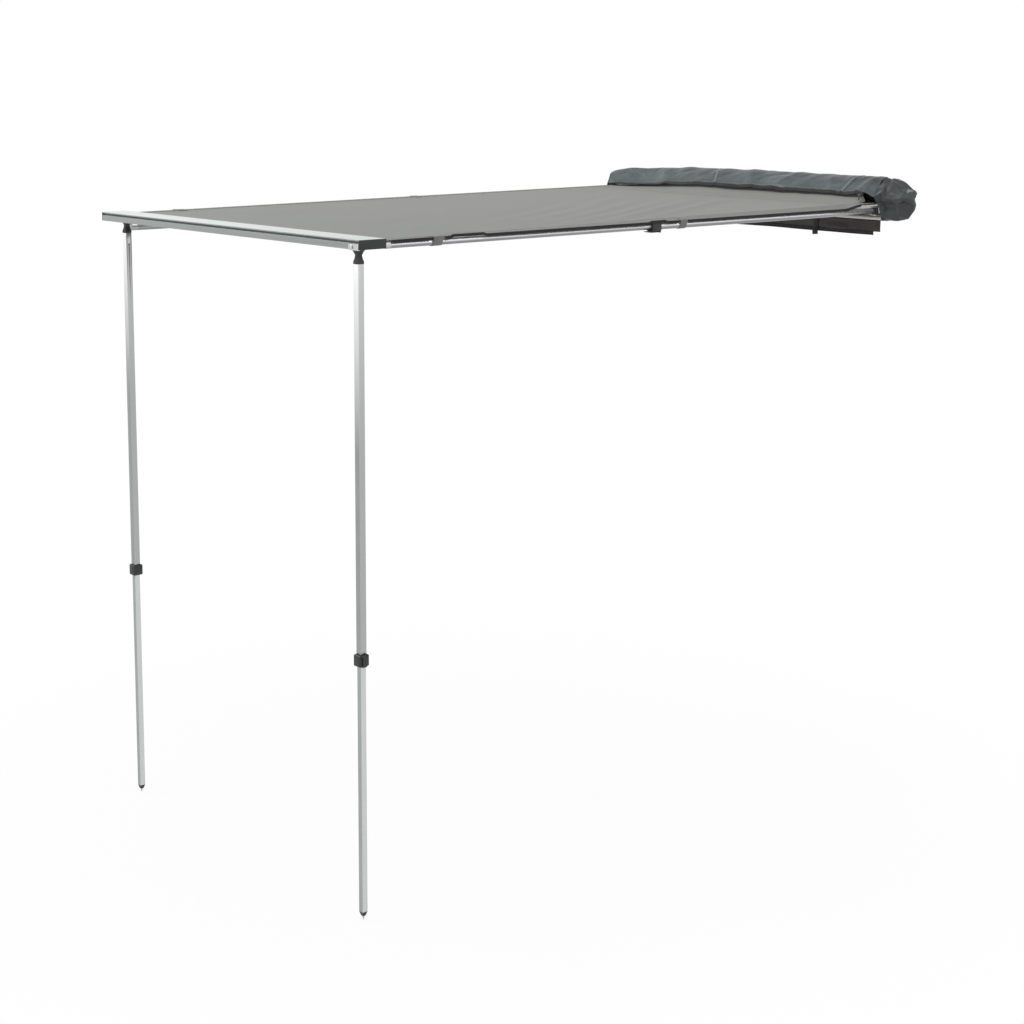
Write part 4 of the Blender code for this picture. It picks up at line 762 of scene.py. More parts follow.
class RowOfCopies:
    """A node tree that sets copies of a small mesh along a line of points."""

    INPUTS = {"Copy": "Object", "Spacing": "Float", "Jitter": "Float", "Seed": "Int", "Material": "Material"}

    def __init__(self, name: str) -> None:
        """Builds the tree.

        Args:
            name: the tree's name.
        """
        self.tree = bpy.data.node_groups.new(name, "GeometryNodeTree")
        sockets = self.tree.interface
        sockets.new_socket("Path", in_out="INPUT", socket_type="NodeSocketGeometry")
        self.inputs = {word: sockets.new_socket(word, in_out="INPUT", socket_type=f"NodeSocket{kind}")
                       for word, kind in self.INPUTS.items()}
        sockets.new_socket("Pieces", in_out="OUTPUT", socket_type="NodeSocketGeometry")
        self._build(NodeBench(self.tree))

    def _build(self, bench: NodeBench) -> None:
        """Adds the tree's nodes and links.

        Args:
            bench: the builder, on this tree.
        """
        start = bench.add("NodeGroupInput").outputs
        curve = bench.add("GeometryNodeMeshToCurve", {"Mesh": start["Path"]})
        even = bench.add("GeometryNodeResampleCurve", {"Curve": curve.outputs["Curve"],
                                                       "Length": start["Spacing"]}, mode="LENGTH")
        source = bench.add("GeometryNodeObjectInfo", {"Object": start["Copy"]})
        tangent = bench.add("GeometryNodeInputTangent")
        turn = bench.add("FunctionNodeAlignRotationToVector", {"Vector": tangent.outputs["Tangent"]},
                         axis="Y", pivot_axis="Z")
        loose = bench.add("FunctionNodeRandomValue", {"Max": start["Jitter"], "Seed": start["Seed"]},
                          data_type="FLOAT")
        copies = bench.add("GeometryNodeInstanceOnPoints", {
            "Points": even.outputs["Curve"], "Instance": source.outputs["Geometry"],
            "Rotation": turn.outputs["Rotation"], "Scale": bench.maths("SUBTRACT", 1.0, loose.outputs[1])})
        real = bench.add("GeometryNodeRealizeInstances", {"Geometry": copies.outputs["Instances"]})
        paint = bench.add("GeometryNodeSetMaterial", {"Geometry": real.outputs["Geometry"],
                                                      "Material": start["Material"]})
        bench.add("NodeGroupOutput", {"Pieces": paint.outputs["Geometry"]})

    def run(self, name: str, paths: Iterable[Sequence[Vector]], copy: Piece, spacing: float,
            material: bpy.types.Material, jitter: float = 0.0, seed: int = 1) -> Piece:
        """Sets copies along paths and bakes them into one plain mesh.

        Args:
            name: the new piece's name.
            paths: lines of points in the row frame.
            copy: the small mesh, whose +Y follows the path.
            spacing: the distance between copies.
            material: the copies' material.
            jitter: how much smaller a copy may be, as a share.
            seed: seeds the jitter.

        Returns:
            The baked piece.
        """
        points, edges = [], []
        for path in paths:
            base = len(points)
            points += [tuple(p) for p in path]
            edges += [(base + i, base + i + 1) for i in range(len(path) - 1)]
        mesh = bpy.data.meshes.new(name)
        mesh.from_pydata(points, edges, [])
        piece = new_object(name, mesh)
        change = piece.modifiers.new("copies", "NODES")
        change.node_group = self.tree
        for word, value in (("Copy", copy), ("Spacing", spacing), ("Jitter", jitter), ("Seed", seed),
                            ("Material", material)):
            change[self.inputs[word].identifier] = value
        bake(piece)
        bpy.data.objects.remove(copy, do_unlink=True)
        return piece


# Sub-assemblies


@dataclass
class Canopy:
    """The cloth roof, its side hems and the webbing loops that hang it from the arms."""

    palette: Palette
    rows: RowOfCopies
    half_width: float = 0.6697
    thickness: float = 0.0012
    front: tuple[float, float] = (-2.304, -0.003)
    rear: tuple[float, float] = (-0.0097, 0.011)
    slot_depth: float = 0.0041
    bead: float = 0.0022
    sag: float = 0.003
    crease_height: float = 0.0060
    crease_count: float = 62.0
    crease_way: tuple[float, float] = (0.88, 0.47)
    crease_start: tuple[float, float] = (0.15, 0.7)
    crease_wander: Wave = Wave(5.0, 2.0, 0.9, 3.0)
    crease_spread: Wave = Wave(0.8, 15.0, 1.2, 51.0)
    crease_patches: Wave = Wave(1.0, 2.6, 0.8, 5.0)
    ease: Wave = Wave(0.0022, 1.6, 1.1, 8.0)
    drift: Wave = Wave(0.0008, 7.0, 1.2, 15.0)
    edge_hold: tuple[float, float] = (12.0, 9.0)
    flat_end: tuple[float, float] = (-0.44, -0.22)
    tail_run: float = 0.095
    tail_slack: float = 1.12
    tail_tuck: tuple[float, float] = (0.015, -0.0085)
    tail_lift: float = 0.0010
    tail_curve: float = 4.4
    tail_ripple: float = 0.0030
    tail_taper: tuple[float, float] = (0.656, 0.676)
    hem_inner_x: float = 0.6665
    hem_outer_x: float = 0.7004
    tab_outer_x: float = 0.6974
    hem_half: float = 0.0026
    binding_width: float = 0.0042
    tube_top: float = -0.0048
    block_top: float = -0.0006
    lip_drop: float = 0.0045
    lip_clear: tuple[tuple[float, float], ...] = (
        (-2.304, -2.285), (-2.131, -2.089), (-1.090, -1.052), (-0.140, 0.0))
    block_places: tuple[tuple[float, float], ...] = ((-1.222, -1.158), (-2.055, -1.935))
    drop_end: tuple[float, float] = (-0.24, -0.14)
    arm_x: float = 0.683
    arm_z: dict = field(default_factory=lambda: {End.NEAR: -0.016, End.FAR: -0.051})
    front_loop: tuple[float, float, float] = (-2.110, 0.036, 0.0095)
    rear_loop: tuple[float, float, float] = (-1.071, 0.031, 0.0110)
    loop_rises: tuple[tuple[float, float], ...] = (
        (0.006, 0.0), (0.012, 0.0002), (0.020, 0.0), (0.030, -0.0014), (0.040, -0.0017))
    travel: float = 0.93

    def share(self, y: float) -> float:
        """Returns how far y lies from the beam, 0, to the back plate, 1."""
        return (y - self.front[0]) / (self.rear[0] - self.front[0])

    def line(self, y: float) -> float:
        """Returns the height of the straight line from the beam's slot to the rail."""
        share = min(max(self.share(y), 0.0), 1.0)
        return self.front[1] + (self.rear[1] - self.front[1]) * share

    def height(self, x: float, y: float) -> float:
        """Returns the cloth's height, with its sag and the slack creases that cross it on the slant.

        Args:
            x: place along the beam.
            y: place from the beam to the back plate.
        """
        along = min(max(self.share(y), 0.0), 1.0)
        across = max(1 - (x / self.half_width) ** 2, 0.0)
        free_y, free_x = self.edge_hold
        loose = min(along * free_y, 1.0) * min(across * free_x, 1.0) * (1 - smoothstep(*self.flat_end, y))
        slant = self.crease_way[0] * x + self.crease_way[1] * y
        run = self.crease_way[0] * y - self.crease_way[1] * x
        wave = 0.5 * math.sin(slant * self.crease_count + self.crease_wander.at(slant, run))
        wave += self.crease_spread.at(slant, run)
        strength = smoothstep(-0.40, 0.45, self.crease_patches.at(slant, run))
        strength *= smoothstep(*self.crease_start, along)
        uneven = self.crease_height * wave * strength + self.ease.at(x, y) + self.drift.at(slant, run)
        return self.line(y) - self.sag * across * 4 * along * (1 - along) + loose * uneven

    def shorten(self, piece: Piece) -> None:
        """Gives a piece on the back plate its own copy of its mesh.

        Args:
            piece: the finished piece.
        """
        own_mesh(piece)

    def cloth(self) -> None:
        """Makes the one sheet of canvas, with both its edges in their slots."""
        start, stop = self.front[0] - self.slot_depth, self.rear[0] + self.slot_depth

        def surface(u: float, v: float) -> Point:
            x, y = (2 * u - 1) * self.half_width, start + (stop - start) * v
            return x, y, self.height(x, y)

        cloth = Sheet("canopy_cloth", (2 * self.half_width, stop - start), (110, 190), self.thickness,
                      "canopy", "canopy", "stretched", ("front_beam", "back_plate"), "canopy")
        self.shorten(cloth.make(surface, self.palette))

    def tail(self, cover: "Cover") -> None:
        """Makes the canvas's tail, which rises from the cloth to the hood's front edge.

        Args:
            cover: the cover, whose front edge it meets.
        """
        def surface(u: float, v: float) -> Point:
            x = (2 * u - 1) * self.half_width
            edge = cover.edge_at(x)
            reach, top = edge[0] + self.tail_tuck[0], edge[1] + self.tail_tuck[1]
            low = reach - self.tail_run
            y = low + self.tail_run * v
            foot = self.height(x, y) + self.tail_lift
            rise = v ** self.tail_curve * (1 - smoothstep(*self.tail_taper, x))
            ripple = self.tail_ripple * v * rumple(x * 11.0 + v * 0.7, v * 0.6, 0.0, 41.0)
            return x, y, foot + (max(top - foot, 0.0) + ripple) * rise

        size = (2 * self.half_width, self.tail_run * self.tail_slack)
        Sheet("canopy_tail", size, (90, 24), self.thickness / 2, "canopy", "canopy", "stretched",
              ("canopy_cloth", "hood_cloth")).make(surface, self.palette)

    def beads(self) -> None:
        """Makes the round cord in each edge of the cloth, inside the slots."""
        deep = self.slot_depth
        for name, body, y, z in (("canopy_front_bead", "beam", self.front[0] - deep, self.front[1]),
                                 ("canopy_rear_bead", "root", self.rear[0] + deep, self.rear[1])):
            path = [Vector((x * self.half_width / 8, y, z)) for x in range(-8, 9)]
            piece = dress(swept(name, path, circle(self.bead, 12), UP), self.palette.get("canopy"))
            enrol(piece, "canopy", body=body)

    def hem_height(self, end: End, x: float, y: float) -> float:
        """Returns the height of a hem's middle, which the near arm's loops draw down to its tube.

        Args:
            end: which side.
            x: distance from the middle of the beam.
            y: place from the beam to the back plate.
        """
        if end is End.FAR:
            return self.line(y)
        drop = max(self.line(y) - self.tube_top - self.hem_half, 0.0) * (1 - smoothstep(*self.drop_end, y))
        z = self.line(y) - drop * smoothstep(self.half_width, self.tab_outer_x - 0.006, x)
        z += max(self.block_top + self.hem_half - z, 0.0) * self.within(y, self.block_places, 0.012)
        lip = self.lip_drop * (1 - self.within(y, self.lip_clear, 0.010))
        return z - lip * smoothstep(self.tab_outer_x - 0.0002, self.tab_outer_x + 0.0012, x)

    def within(self, y: float, spans: Sequence[tuple[float, float]], soft: float) -> float:
        """Returns 1 where y lies in a span, 0 away from them all, and a smooth change between.

        Args:
            y: the place.
            spans: the spans, each as low and high.
            soft: the length of the change.
        """
        return max(1 - smoothstep(0.0, soft, max(low - y, y - high)) for low, high in spans)

    def hem(self, end: End) -> None:
        """Makes a side hem: a folded band of canvas whose outer edge is bound in black.

        Args:
            end: which side.
        """
        first, last = self.front[0] + 0.0006, self.rear[0] - 0.0006
        steps, around = 460, 32
        points = []
        for i in range(steps + 1):
            y = first + (last - first) * i / steps
            wave = 0.0005 * rumple(y * 9, 0.0, end.sign * 4.0)
            narrow = (self.hem_outer_x - self.tab_outer_x) * self.within(y, self.lip_clear, 0.010)
            middle = (self.hem_outer_x - narrow + self.hem_inner_x) / 2
            half_x = middle - self.hem_inner_x
            for k in range(around):
                c, s = math.cos(2 * math.pi * k / around), math.sin(2 * math.pi * k / around)
                x = middle + half_x * math.copysign(abs(c) ** 0.45, c)
                z = self.hem_height(end, x, y) + self.hem_half * math.copysign(abs(s) ** 0.6, s)
                points.append((end.sign * (x + wave), y, z + wave))
        faces = tube_faces(around, steps + 1)
        faces += [tuple(range(around)), tuple(steps * around + k for k in range(around))]
        uvs = [(p[0], p[1]) for p in points]
        piece = mesh_object(f"{end.value}_hem_binding", points, faces, uvs)
        tidy_normals(piece)
        dress(piece, self.palette.get("hem"))
        piece.data.materials.append(self.palette.get("canopy"))
        for face in piece.data.polygons:
            face.material_index = int(abs(face.center.x) < self.hem_outer_x - self.binding_width)
        enrol(piece, "hem", f"{end.value}_hem")
        self.shorten(piece)

    def stitches(self) -> None:
        """Makes the hems' stitches, above and below, as one piece."""
        paths = []
        for end in End:
            for x in (self.hem_inner_x + 0.004, self.tab_outer_x - 0.005):
                for side in (1, -1):
                    lift = side * (self.hem_half + 0.00005)
                    paths.append([Vector((end.sign * x, y, self.hem_height(end, x, y) + lift))
                                  for y in (self.front[0] + 0.004 + 2.28 * i / 120 for i in range(121))])
        piece = self.rows.run("hem_stitches", paths, thread_stitch("hem_stitch"), STITCH_PITCH,
                              self.palette.get("thread"), 0.15, 4)
        enrol(piece, "hem")
        self.shorten(piece)

    def loop(self, end: End, place: str) -> None:
        """Makes a webbing loop that runs round the arm's tube and is sewn over the hem.

        Args:
            end: which side.
            place: front or rear.
        """
        y, width, radius = self.front_loop if place == "front" else self.rear_loop
        sign = end.sign
        x, z = sign * self.arm_x, self.arm_z[end]
        round_tube = radius + 0.0011
        lift, outer_z = self.hem_half + 0.0010, self.hem_height(end, self.tab_outer_x, y)
        top, low = outer_z + lift, outer_z - lift
        path = [(x - sign * round_tube * 0.9, self.line(y) - lift)]
        path += [(x - sign * round_tube * math.cos(a), z - round_tube * math.sin(a))
                 for a in (i * math.pi / 14 for i in range(15))]
        outer = sign * self.tab_outer_x
        path += [(outer + sign * 0.0012, low), (outer + sign * 0.0014, outer_z), (outer - sign * 0.001, top)]
        path += [(outer - sign * back, self.hem_height(end, self.tab_outer_x - back, y) + lift + rise)
                 for back, rise in self.loop_rises]
        points = smooth_path([(a, y, b) for a, b in path], 2)
        piece = dress(swept(f"{end.value}_{place}_loop", points, webbing_section(width), Vector((0, 1, 0))),
                      self.palette.get("tab"))
        enrol(piece, "tab", f"{end.value}_{place}_tab")
        self.shorten(piece)

    def build(self) -> None:
        """Makes the whole canopy."""
        self.cloth()
        self.tail(Cover(self.palette, self.rows))
        self.beads()
        for end in End:
            self.hem(end)
            for place in ("front", "rear"):
                self.loop(end, place)
        self.stitches()


def circle(radius: float, count: int) -> list[tuple[float, float]]:
    """Returns a ring of points, as a section to sweep.

    Args:
        radius: the ring's radius.
        count: the number of points.
    """
    turns = [2 * math.pi * i / count for i in range(count)]
    return [(radius * math.cos(turn), radius * math.sin(turn)) for turn in turns]


def webbing_section(width: float, half: float = 0.0007, edge: float = 0.0004) -> list[tuple[float, float]]:
    """Returns the section of a flat strap.

    Args:
        width: its width.
        half: half its thickness.
        edge: how far its rounded edge stands out.
    """
    side = width / 2
    return [(-half, -side), (0.0, -side - edge), (half, -side), (half, 0.0), (half, side), (0.0, side + edge),
            (-half, side), (-half, 0.0)]


def thread_stitch(name: str, length: float = 0.0030, radius: float = 0.0004) -> Piece:
    """Makes one stitch, a short thread that dips at both ends.

    Args:
        name: the mesh's name.
        length: its length along +Y.
        radius: the thread's radius.

    Returns:
        The object.
    """
    path = [Vector((0, -length / 2, -radius)), Vector((0, -length / 4, radius * 0.3)),
            Vector((0, length / 4, radius * 0.3)), Vector((0, length / 2, -radius))]
    return swept(name, path, circle(radius, 4), UP)


@dataclass(frozen=True)
class Crease:
    """A sharp fold across the open cover, from its crest to its edge."""

    at_crest: float
    at_edge: float
    height: float
    width: float


@dataclass(frozen=True)
class Gusset:
    """The crumpled cloth beyond one end of the plate.

    Its cut is the flat cloth's length, its sizes say how far out and how wide each row of facets lies, and
    its front is the part of its outline below the hood, as (y, z).
    """

    length: float
    cut: float
    centre: float
    crumple: float
    seed: int
    sizes: tuple[tuple[float, float], ...]
    front: tuple[tuple[float, float], ...]


GUSSETS = {
    End.NEAR: Gusset(0.125, 0.180, 0.034, 0.0210, 11,
                     ((0.0, 1.0), (0.16, 1.0), (0.36, 1.0), (0.58, 0.93), (0.80, 0.74), (1.0, 0.42)),
                     ((-0.055, 0.012), (-0.034, -0.014), (-0.026, -0.048))),
    End.FAR: Gusset(0.014, 0.046, 0.012, 0.001, 5, ((0.0, 1.0), (0.5, 0.96), (1.0, 0.55)),
                    ((-0.032, 0.010), (-0.030, -0.020), (-0.025, -0.048))),
}


@dataclass
class Cover:
    """The zipped cover, open: a hood folded back, a flap hanging down, crumpled ends and its straps."""

    palette: Palette
    rows: RowOfCopies
    plate_end: float = 0.700
    cloth: float = 0.0013
    foot: float = 0.0513
    hood_back: float = 0.012
    crest: float = 0.105
    reach: float = 0.100
    edge: float = 0.055
    bulge: float = 0.012
    droop_start: float = -0.1
    far_reach: float = 0.030
    far_edge: float = 0.024
    far_sink: float = 0.020
    corner_length: float = 0.140
    corner_drop: float = 0.023
    slack_height: float = 0.0100
    pull_start: float = 0.669
    pulled_edge: tuple[float, float] = (-0.074, 0.034)
    facet_count: int = 13
    gusset_girth: float = 0.36
    gusset_lap: float = 0.002
    gusset_rumple: float = 0.0022
    hood_width: float = 0.215
    lining_size: tuple[float, float] = (0.045, 0.060)
    flap_width: float = 0.068
    zip_inset: float = 0.030
    zip_width: float = 0.013
    zip_lap: float = 0.002
    seam_share: float = 0.93
    zip_hang: float = 70.0
    zip_lie: float = 5.0
    tooth_pitch: float = 0.0026
    flap_front: float = -0.0313
    flap_top: float = -0.0513
    flap_bottom: float = -0.092
    strap_x: float = 0.405
    strap_width: float = 0.025
    strap_bottom: float = -0.118
    hood_swell: Wave = Wave(0.0042, 3.2, 1.4, 2.0)
    hood_wave: Wave = Wave(0.0022, 9.0, 2.5, 7.0)
    edge_ripple: Wave = Wave(0.003, 14.0, 0.0, 5.0)
    zip_sway: Wave = Wave(0.15, 8.0, 0.0, 21.0)
    flap_swell: Wave = Wave(0.0045, 3.0, 0.8, 31.0)
    flap_wave: Wave = Wave(0.0018, 10.0, 2.0, 33.0)
    flap_sag: Wave = Wave(1.0, 5.0, 0.0, 35.0)
    creases: tuple[Crease, ...] = (
        Crease(-0.105, -0.046, 0.0040, 0.006), Crease(0.603, 0.567, 0.0055, 0.009),
        Crease(-0.420, -0.330, 0.0050, 0.045), Crease(0.060, 0.140, 0.0045, 0.050),
        Crease(0.330, 0.250, 0.0045, 0.040), Crease(0.450, 0.520, 0.0030, 0.030),
        Crease(0.680, 0.640, 0.0045, 0.020))

    @property
    def zip_end(self) -> float:
        """Returns how far the zip runs from the middle."""
        return self.plate_end - self.zip_inset

    def droop(self, x: float) -> float:
        """Returns how far the cover has sunk at x, from 0 to 1 at its far end."""
        return smoothstep(self.droop_start, -self.plate_end, x) if x < self.droop_start else 0.0

    def edge_at(self, x: float) -> tuple[float, float]:
        """Returns the (y, z) of the hood's front edge at x."""
        sunk = self.droop(x)
        y = -self.reach + (self.reach - self.far_reach) * sunk
        z = self.edge + (self.far_edge - self.edge) * sunk
        pulled = smoothstep(self.pull_start, self.plate_end, x)
        return y + (self.pulled_edge[0] - y) * pulled, z + (self.pulled_edge[1] - z) * pulled

    def crest_at(self, x: float) -> float:
        """Returns the height of the hood's crest at x, which sinks and then rounds off at the far end."""
        share = min(max((self.corner_length - self.plate_end - x) / self.corner_length, 0.0), 1.0)
        corner = self.corner_drop * (1 - math.sqrt(1 - share * share))
        return self.crest - self.far_sink * self.droop(x) - corner

    def hood_path(self, x: float) -> list[Vector]:
        """Returns the hood's middle line at x, from the back plate to its front edge."""
        edge = self.edge_at(x)
        crest = self.crest_at(x)
        middle = (edge[0] * 0.5, (crest + edge[1]) / 2 + self.bulge)
        points = [(x, -0.004, self.foot), (x, self.hood_back, (self.foot + crest) / 2), (x, 0.0, crest),
                  (x, *middle), (x, *edge)]
        return smooth_path(points, 6)

    def fold(self, x: float, v: float) -> float:
        """Returns how far the hood's cloth stands off its path: soft waves and sharp creases.

        Args:
            x: place along the plate.
            v: share from the plate, 0, to the front edge, 1.
        """
        height = self.hood_swell.at(x, v) + self.hood_wave.at(x, v)
        height += 0.0012 * (1 - 2 * abs(rumple(x * 16.0 + v * 3.0, v * 3.5, 0.0, 11.0)))
        slack = noise.voronoi(Vector((x * 9.0 + v * 0.9, v * 2.6, 3.0)))[0]
        height += (slack[1] - slack[0] - 0.3) * self.slack_height * smoothstep(0.15, 0.55, v)
        along = max((v - 0.45) / 0.55, 0.0)
        for crease in self.creases:
            middle = crease.at_crest + (crease.at_edge - crease.at_crest) * along
            off = abs(x - middle) / crease.width
            height += crease.height * max(1 - off, 0.0) ** 1.5 * (0.4 + 0.6 * along)
            height -= crease.height * 0.35 * math.exp(-((off - 1.6) ** 2))
        return height * smoothstep(0.0, 0.25, v) * (0.45 + 0.55 * smoothstep(0.50, 0.72, v))

    def hood_point(self, x: float, v: float) -> Vector:
        """Returns a point of the hood's cloth.

        Args:
            x: place along the plate.
            v: share from the plate to the front edge.
        """
        path = self.hood_path(x)
        place = v * (len(path) - 1)
        i = min(int(place), len(path) - 2)
        spot = path[i].lerp(path[i + 1], place - i)
        run = (path[i + 1] - path[i]).normalized()
        out = Vector((0, run.z, -run.y))
        ripple = self.edge_ripple.at(x) * smoothstep(0.75, 1.0, v)
        return spot + out * self.fold(x, v) + run * ripple

    def hood(self) -> None:
        """Makes the hood's one sheet."""
        def surface(u: float, v: float) -> Point:
            return tuple(self.hood_point((2 * u - 1) * self.plate_end, v))

        Sheet("hood_cloth", (2 * self.plate_end, self.hood_width), (260, 44), self.cloth, "cover", "cover",
              "folded", ("back_plate",), "cover_hood").make(surface, self.palette)

    def hood_lining(self) -> None:
        """Makes the pale lining that shows at the hood's sunken far end."""
        def surface(u: float, v: float) -> Point:
            point = self.hood_point(-self.plate_end + 0.0005 + self.lining_size[0] * u, 0.62 + 0.375 * v)
            return point.x, point.y - 0.0004, point.z - 0.0016

        Sheet("hood_lining", self.lining_size, (12, 16), 0.0006, "liner", "cover", "folded",
              ("hood_cloth",)).make(surface, self.palette)

    def zip_frame(self, x: float) -> tuple[Vector, Vector]:
        """Returns where the upper zip tape starts at x, and the way it runs."""
        start, before = self.hood_point(x, 1.0), self.hood_point(x, 0.97)
        angle = math.radians(self.zip_hang + (self.zip_lie - self.zip_hang) * self.droop(x))
        angle += self.zip_sway.at(x)
        return start + (start - before).normalized() * 0.0004, Vector((0, -math.cos(angle), -math.sin(angle)))

    def hood_zip(self) -> None:
        """Makes the upper half of the zip, along the hood's front edge."""
        def surface(u: float, v: float) -> Point:
            start, run = self.zip_frame((2 * u - 1) * self.zip_end)
            return tuple(start + run * (v * self.zip_width - self.zip_lap))

        self.zip_half("hood", surface)
        self.seam("hood_seam", self.hood_point, Vector((0, -0.0008, 0.0006)))

    def zip_half(self, word: str, surface: Surface) -> None:
        """Makes one half of the zip: its tape and the teeth along its free edge.

        Args:
            word: the cloth that it is sewn to, hood or flap.
            surface: the tape's surface.
        """
        Sheet(f"{word}_zip_tape", (2 * self.zip_end, self.zip_width), (180, 4), 0.0008, "zip_tape", "zip",
              "hung", (f"{word}_cloth",), f"{word}_zip").make(surface, self.palette)
        self.teeth(f"{word}_zip_teeth", [Vector(surface(i / 120, 1.0)) for i in range(121)])

    def teeth(self, name: str, line: Sequence[Vector]) -> None:
        """Makes a row of zip teeth.

        Args:
            name: the piece's name.
            line: the edge of the tape.
        """
        ring = [(-0.0009, -0.0016), (0.0009, -0.0016), (0.0012, 0.0), (0.0009, 0.0016), (-0.0009, 0.0016)]
        tooth = swept("tooth", [Vector((0, -0.0007, 0)), Vector((0, 0.0007, 0))], ring, UP)
        piece = self.rows.run(name, [line], tooth, self.tooth_pitch, self.palette.get("zip_teeth"), 0.0, 2)
        enrol(piece, "zip")

    def seam(self, name: str, cloth: Callable[[float, float], Vector], lift: Vector) -> None:
        """Makes a row of stitches along the zip's side of a cloth.

        Args:
            name: the piece's name.
            cloth: gives the cloth's point at a place along the plate and a share down.
            lift: how far the row stands off the cloth's middle.
        """
        line = [cloth((i / 60 - 1) * self.zip_end, self.seam_share) + lift for i in range(121)]
        piece = self.rows.run(name, [line], thread_stitch(name + "_one"), STITCH_PITCH,
                              self.palette.get("thread"), 0.2, 6)
        enrol(piece, "cover")

    def flap_point(self, x: float, drop: float) -> Vector:
        """Returns a point of the hanging part of the flap.

        Args:
            x: place along the plate.
            drop: share from its top, 0, to its bottom edge, 1.
        """
        loose = smoothstep(0.1, 0.9, drop)
        wave = self.flap_swell.at(x, drop) + self.flap_wave.at(x, drop)
        z = self.flap_top + (self.flap_bottom - self.flap_top) * drop
        z -= 0.0015 * loose * self.flap_sag.at(x)
        return Vector((x, self.flap_front - abs(wave) * loose * 0.9, z))

    def flap(self) -> None:
        """Makes the flap, held under the plate's bottom flange and hanging from its lip."""
        turn = 0.30

        def surface(u: float, v: float) -> Point:
            x = (2 * u - 1) * self.plate_end
            if v < turn:
                share = v / turn
                return x, -0.004 + (self.flap_front + 0.004) * share, self.flap_top
            return tuple(self.flap_point(x, (v - turn) / (1 - turn)))

        Sheet("flap_cloth", (2 * self.plate_end, self.flap_width), (200, 20), self.cloth, "cover_inside",
              "cover", "hung", ("back_plate",), "cover_flap").make(surface, self.palette)

    def flap_zip(self) -> None:
        """Makes the lower half of the zip, along the flap's bottom edge."""
        def surface(u: float, v: float) -> Point:
            point = self.flap_point((2 * u - 1) * self.zip_end, 1.0)
            return point.x, point.y - 0.0003, point.z + self.zip_lap - v * self.zip_width

        self.zip_half("flap", surface)
        self.seam("flap_seam", self.flap_point, Vector((0, -0.0009, 0)))

    def strap(self, end: End) -> None:
        """Makes a webbing strap that hangs in front of the flap.

        Args:
            end: which side.
        """
        x = end.sign * self.strap_x
        front = [self.flap_point(x, i / 6) for i in range(7)]
        path = [(x, self.flap_front - 0.0019, -0.030), (x, self.flap_front - 0.0021, -0.044)]
        path += [(x, min(p.y, self.flap_front) - 0.0024, p.z) for p in front[1:]]
        path += [(x + 0.001, self.flap_front - 0.0070, -0.108),
                 (x + 0.002, self.flap_front - 0.0062, self.strap_bottom)]
        piece = swept(f"{end.value}_hanging_strap", smooth_path(path, 4), webbing_section(self.strap_width),
                      Vector((1, 0, 0)))
        enrol(dress(piece, self.palette.get("webbing")), "webbing", f"{end.value}_strap")

    def end_ring(self, end: End) -> list[Vector]:
        """Returns the outline of a crumpled end where it leaves the plate, as (0, y, z).

        Args:
            end: which side.
        """
        hood = self.hood_path(end.sign * self.plate_end)
        top = [hood[i * (len(hood) - 1) // 6] for i in range(1, 7)]
        low = [*GUSSETS[end].front, (-0.006, -0.050), (0.014, -0.010), (top[0].y, top[0].z)]
        return smooth_path([(0, p.y, p.z) for p in top] + [(0, *p) for p in low], 6)[:-1]

    def facets(self, end: End) -> tuple[list[Point], list[tuple[int, ...]], list[tuple[float, float]]]:
        """Returns the flat facets that crumpled cloth falls into: vertices, faces and UV points.

        Args:
            end: which side.
        """
        gusset, ring, count = GUSSETS[end], self.end_ring(end), self.facet_count
        length, sizes, lap = gusset.length, gusset.sizes, self.gusset_lap
        centre = Vector((0, -0.016, gusset.centre))
        chance = random.Random(gusset.seed)
        points, uvs = [], []
        for row, (share, size) in enumerate(sizes):
            for k in range(count):
                turn = (k + 0.5 * (row % 2) + (0.28 * chance.uniform(-1, 1) if row else 0.0)) / count % 1.0
                spot = ring[int(turn * len(ring)) % len(ring)]
                rough = gusset.crumple * chance.uniform(-1.0, 0.35) if row else 0.0012
                arm = (spot - centre) * size
                inner = 0 < row < len(sizes) - 1
                shift = 0.52 * chance.uniform(-1, 1) * length / len(sizes) if inner else 0.0
                x = end.sign * (self.plate_end - lap + (length + lap) * share + shift)
                sunk = Vector((x, 0.012 * share, -0.004 * share))
                points.append(tuple(sunk + centre + arm + arm.normalized() * rough))
                uvs.append((turn * self.gusset_girth, share * length))
        faces = []
        for row in range(len(sizes) - 1):
            here, there, lag = row * count, (row + 1) * count, row % 2
            for k in range(count):
                after = (k + 1) % count
                faces.append((here + k, here + after, there + (k + lag) % count))
                faces.append((here + after, there + (after + lag) % count, there + (k + lag) % count))
        last = (len(sizes) - 1) * count
        middle = sum((Vector(p) for p in points[last:]), Vector()) / count
        points.append((end.sign * (self.plate_end + length), middle.y, middle.z))
        uvs.append((self.gusset_girth / 2, length + 0.02))
        faces += [(last + k, last + (k + 1) % count, len(points) - 1) for k in range(count)]
        return points, faces, uvs

    def bunched_end(self, end: End) -> None:
        """Makes a crumpled gusset of the cover beyond an end of the plate.

        Args:
            end: which side.
        """
        piece = mesh_object(f"{end.value}_bunched_end", *self.facets(end))
        finer = piece.modifiers.new("finer", "SUBSURF")
        finer.subdivision_type = "SIMPLE"
        finer.levels = finer.render_levels = 3
        softer = piece.modifiers.new("softer", "SMOOTH")
        softer.iterations = 1
        bake(piece)
        for vertex in piece.data.vertices:
            spot = vertex.co
            vertex.co = spot + vertex.normal * self.gusset_rumple * noise.noise(spot * 42 + Vector((2, 5, 1)))
        wall = piece.modifiers.new("thickness", "SOLIDIFY")
        wall.thickness = self.cloth
        wall.offset = 0.0
        bake(piece)
        tidy_normals(piece)
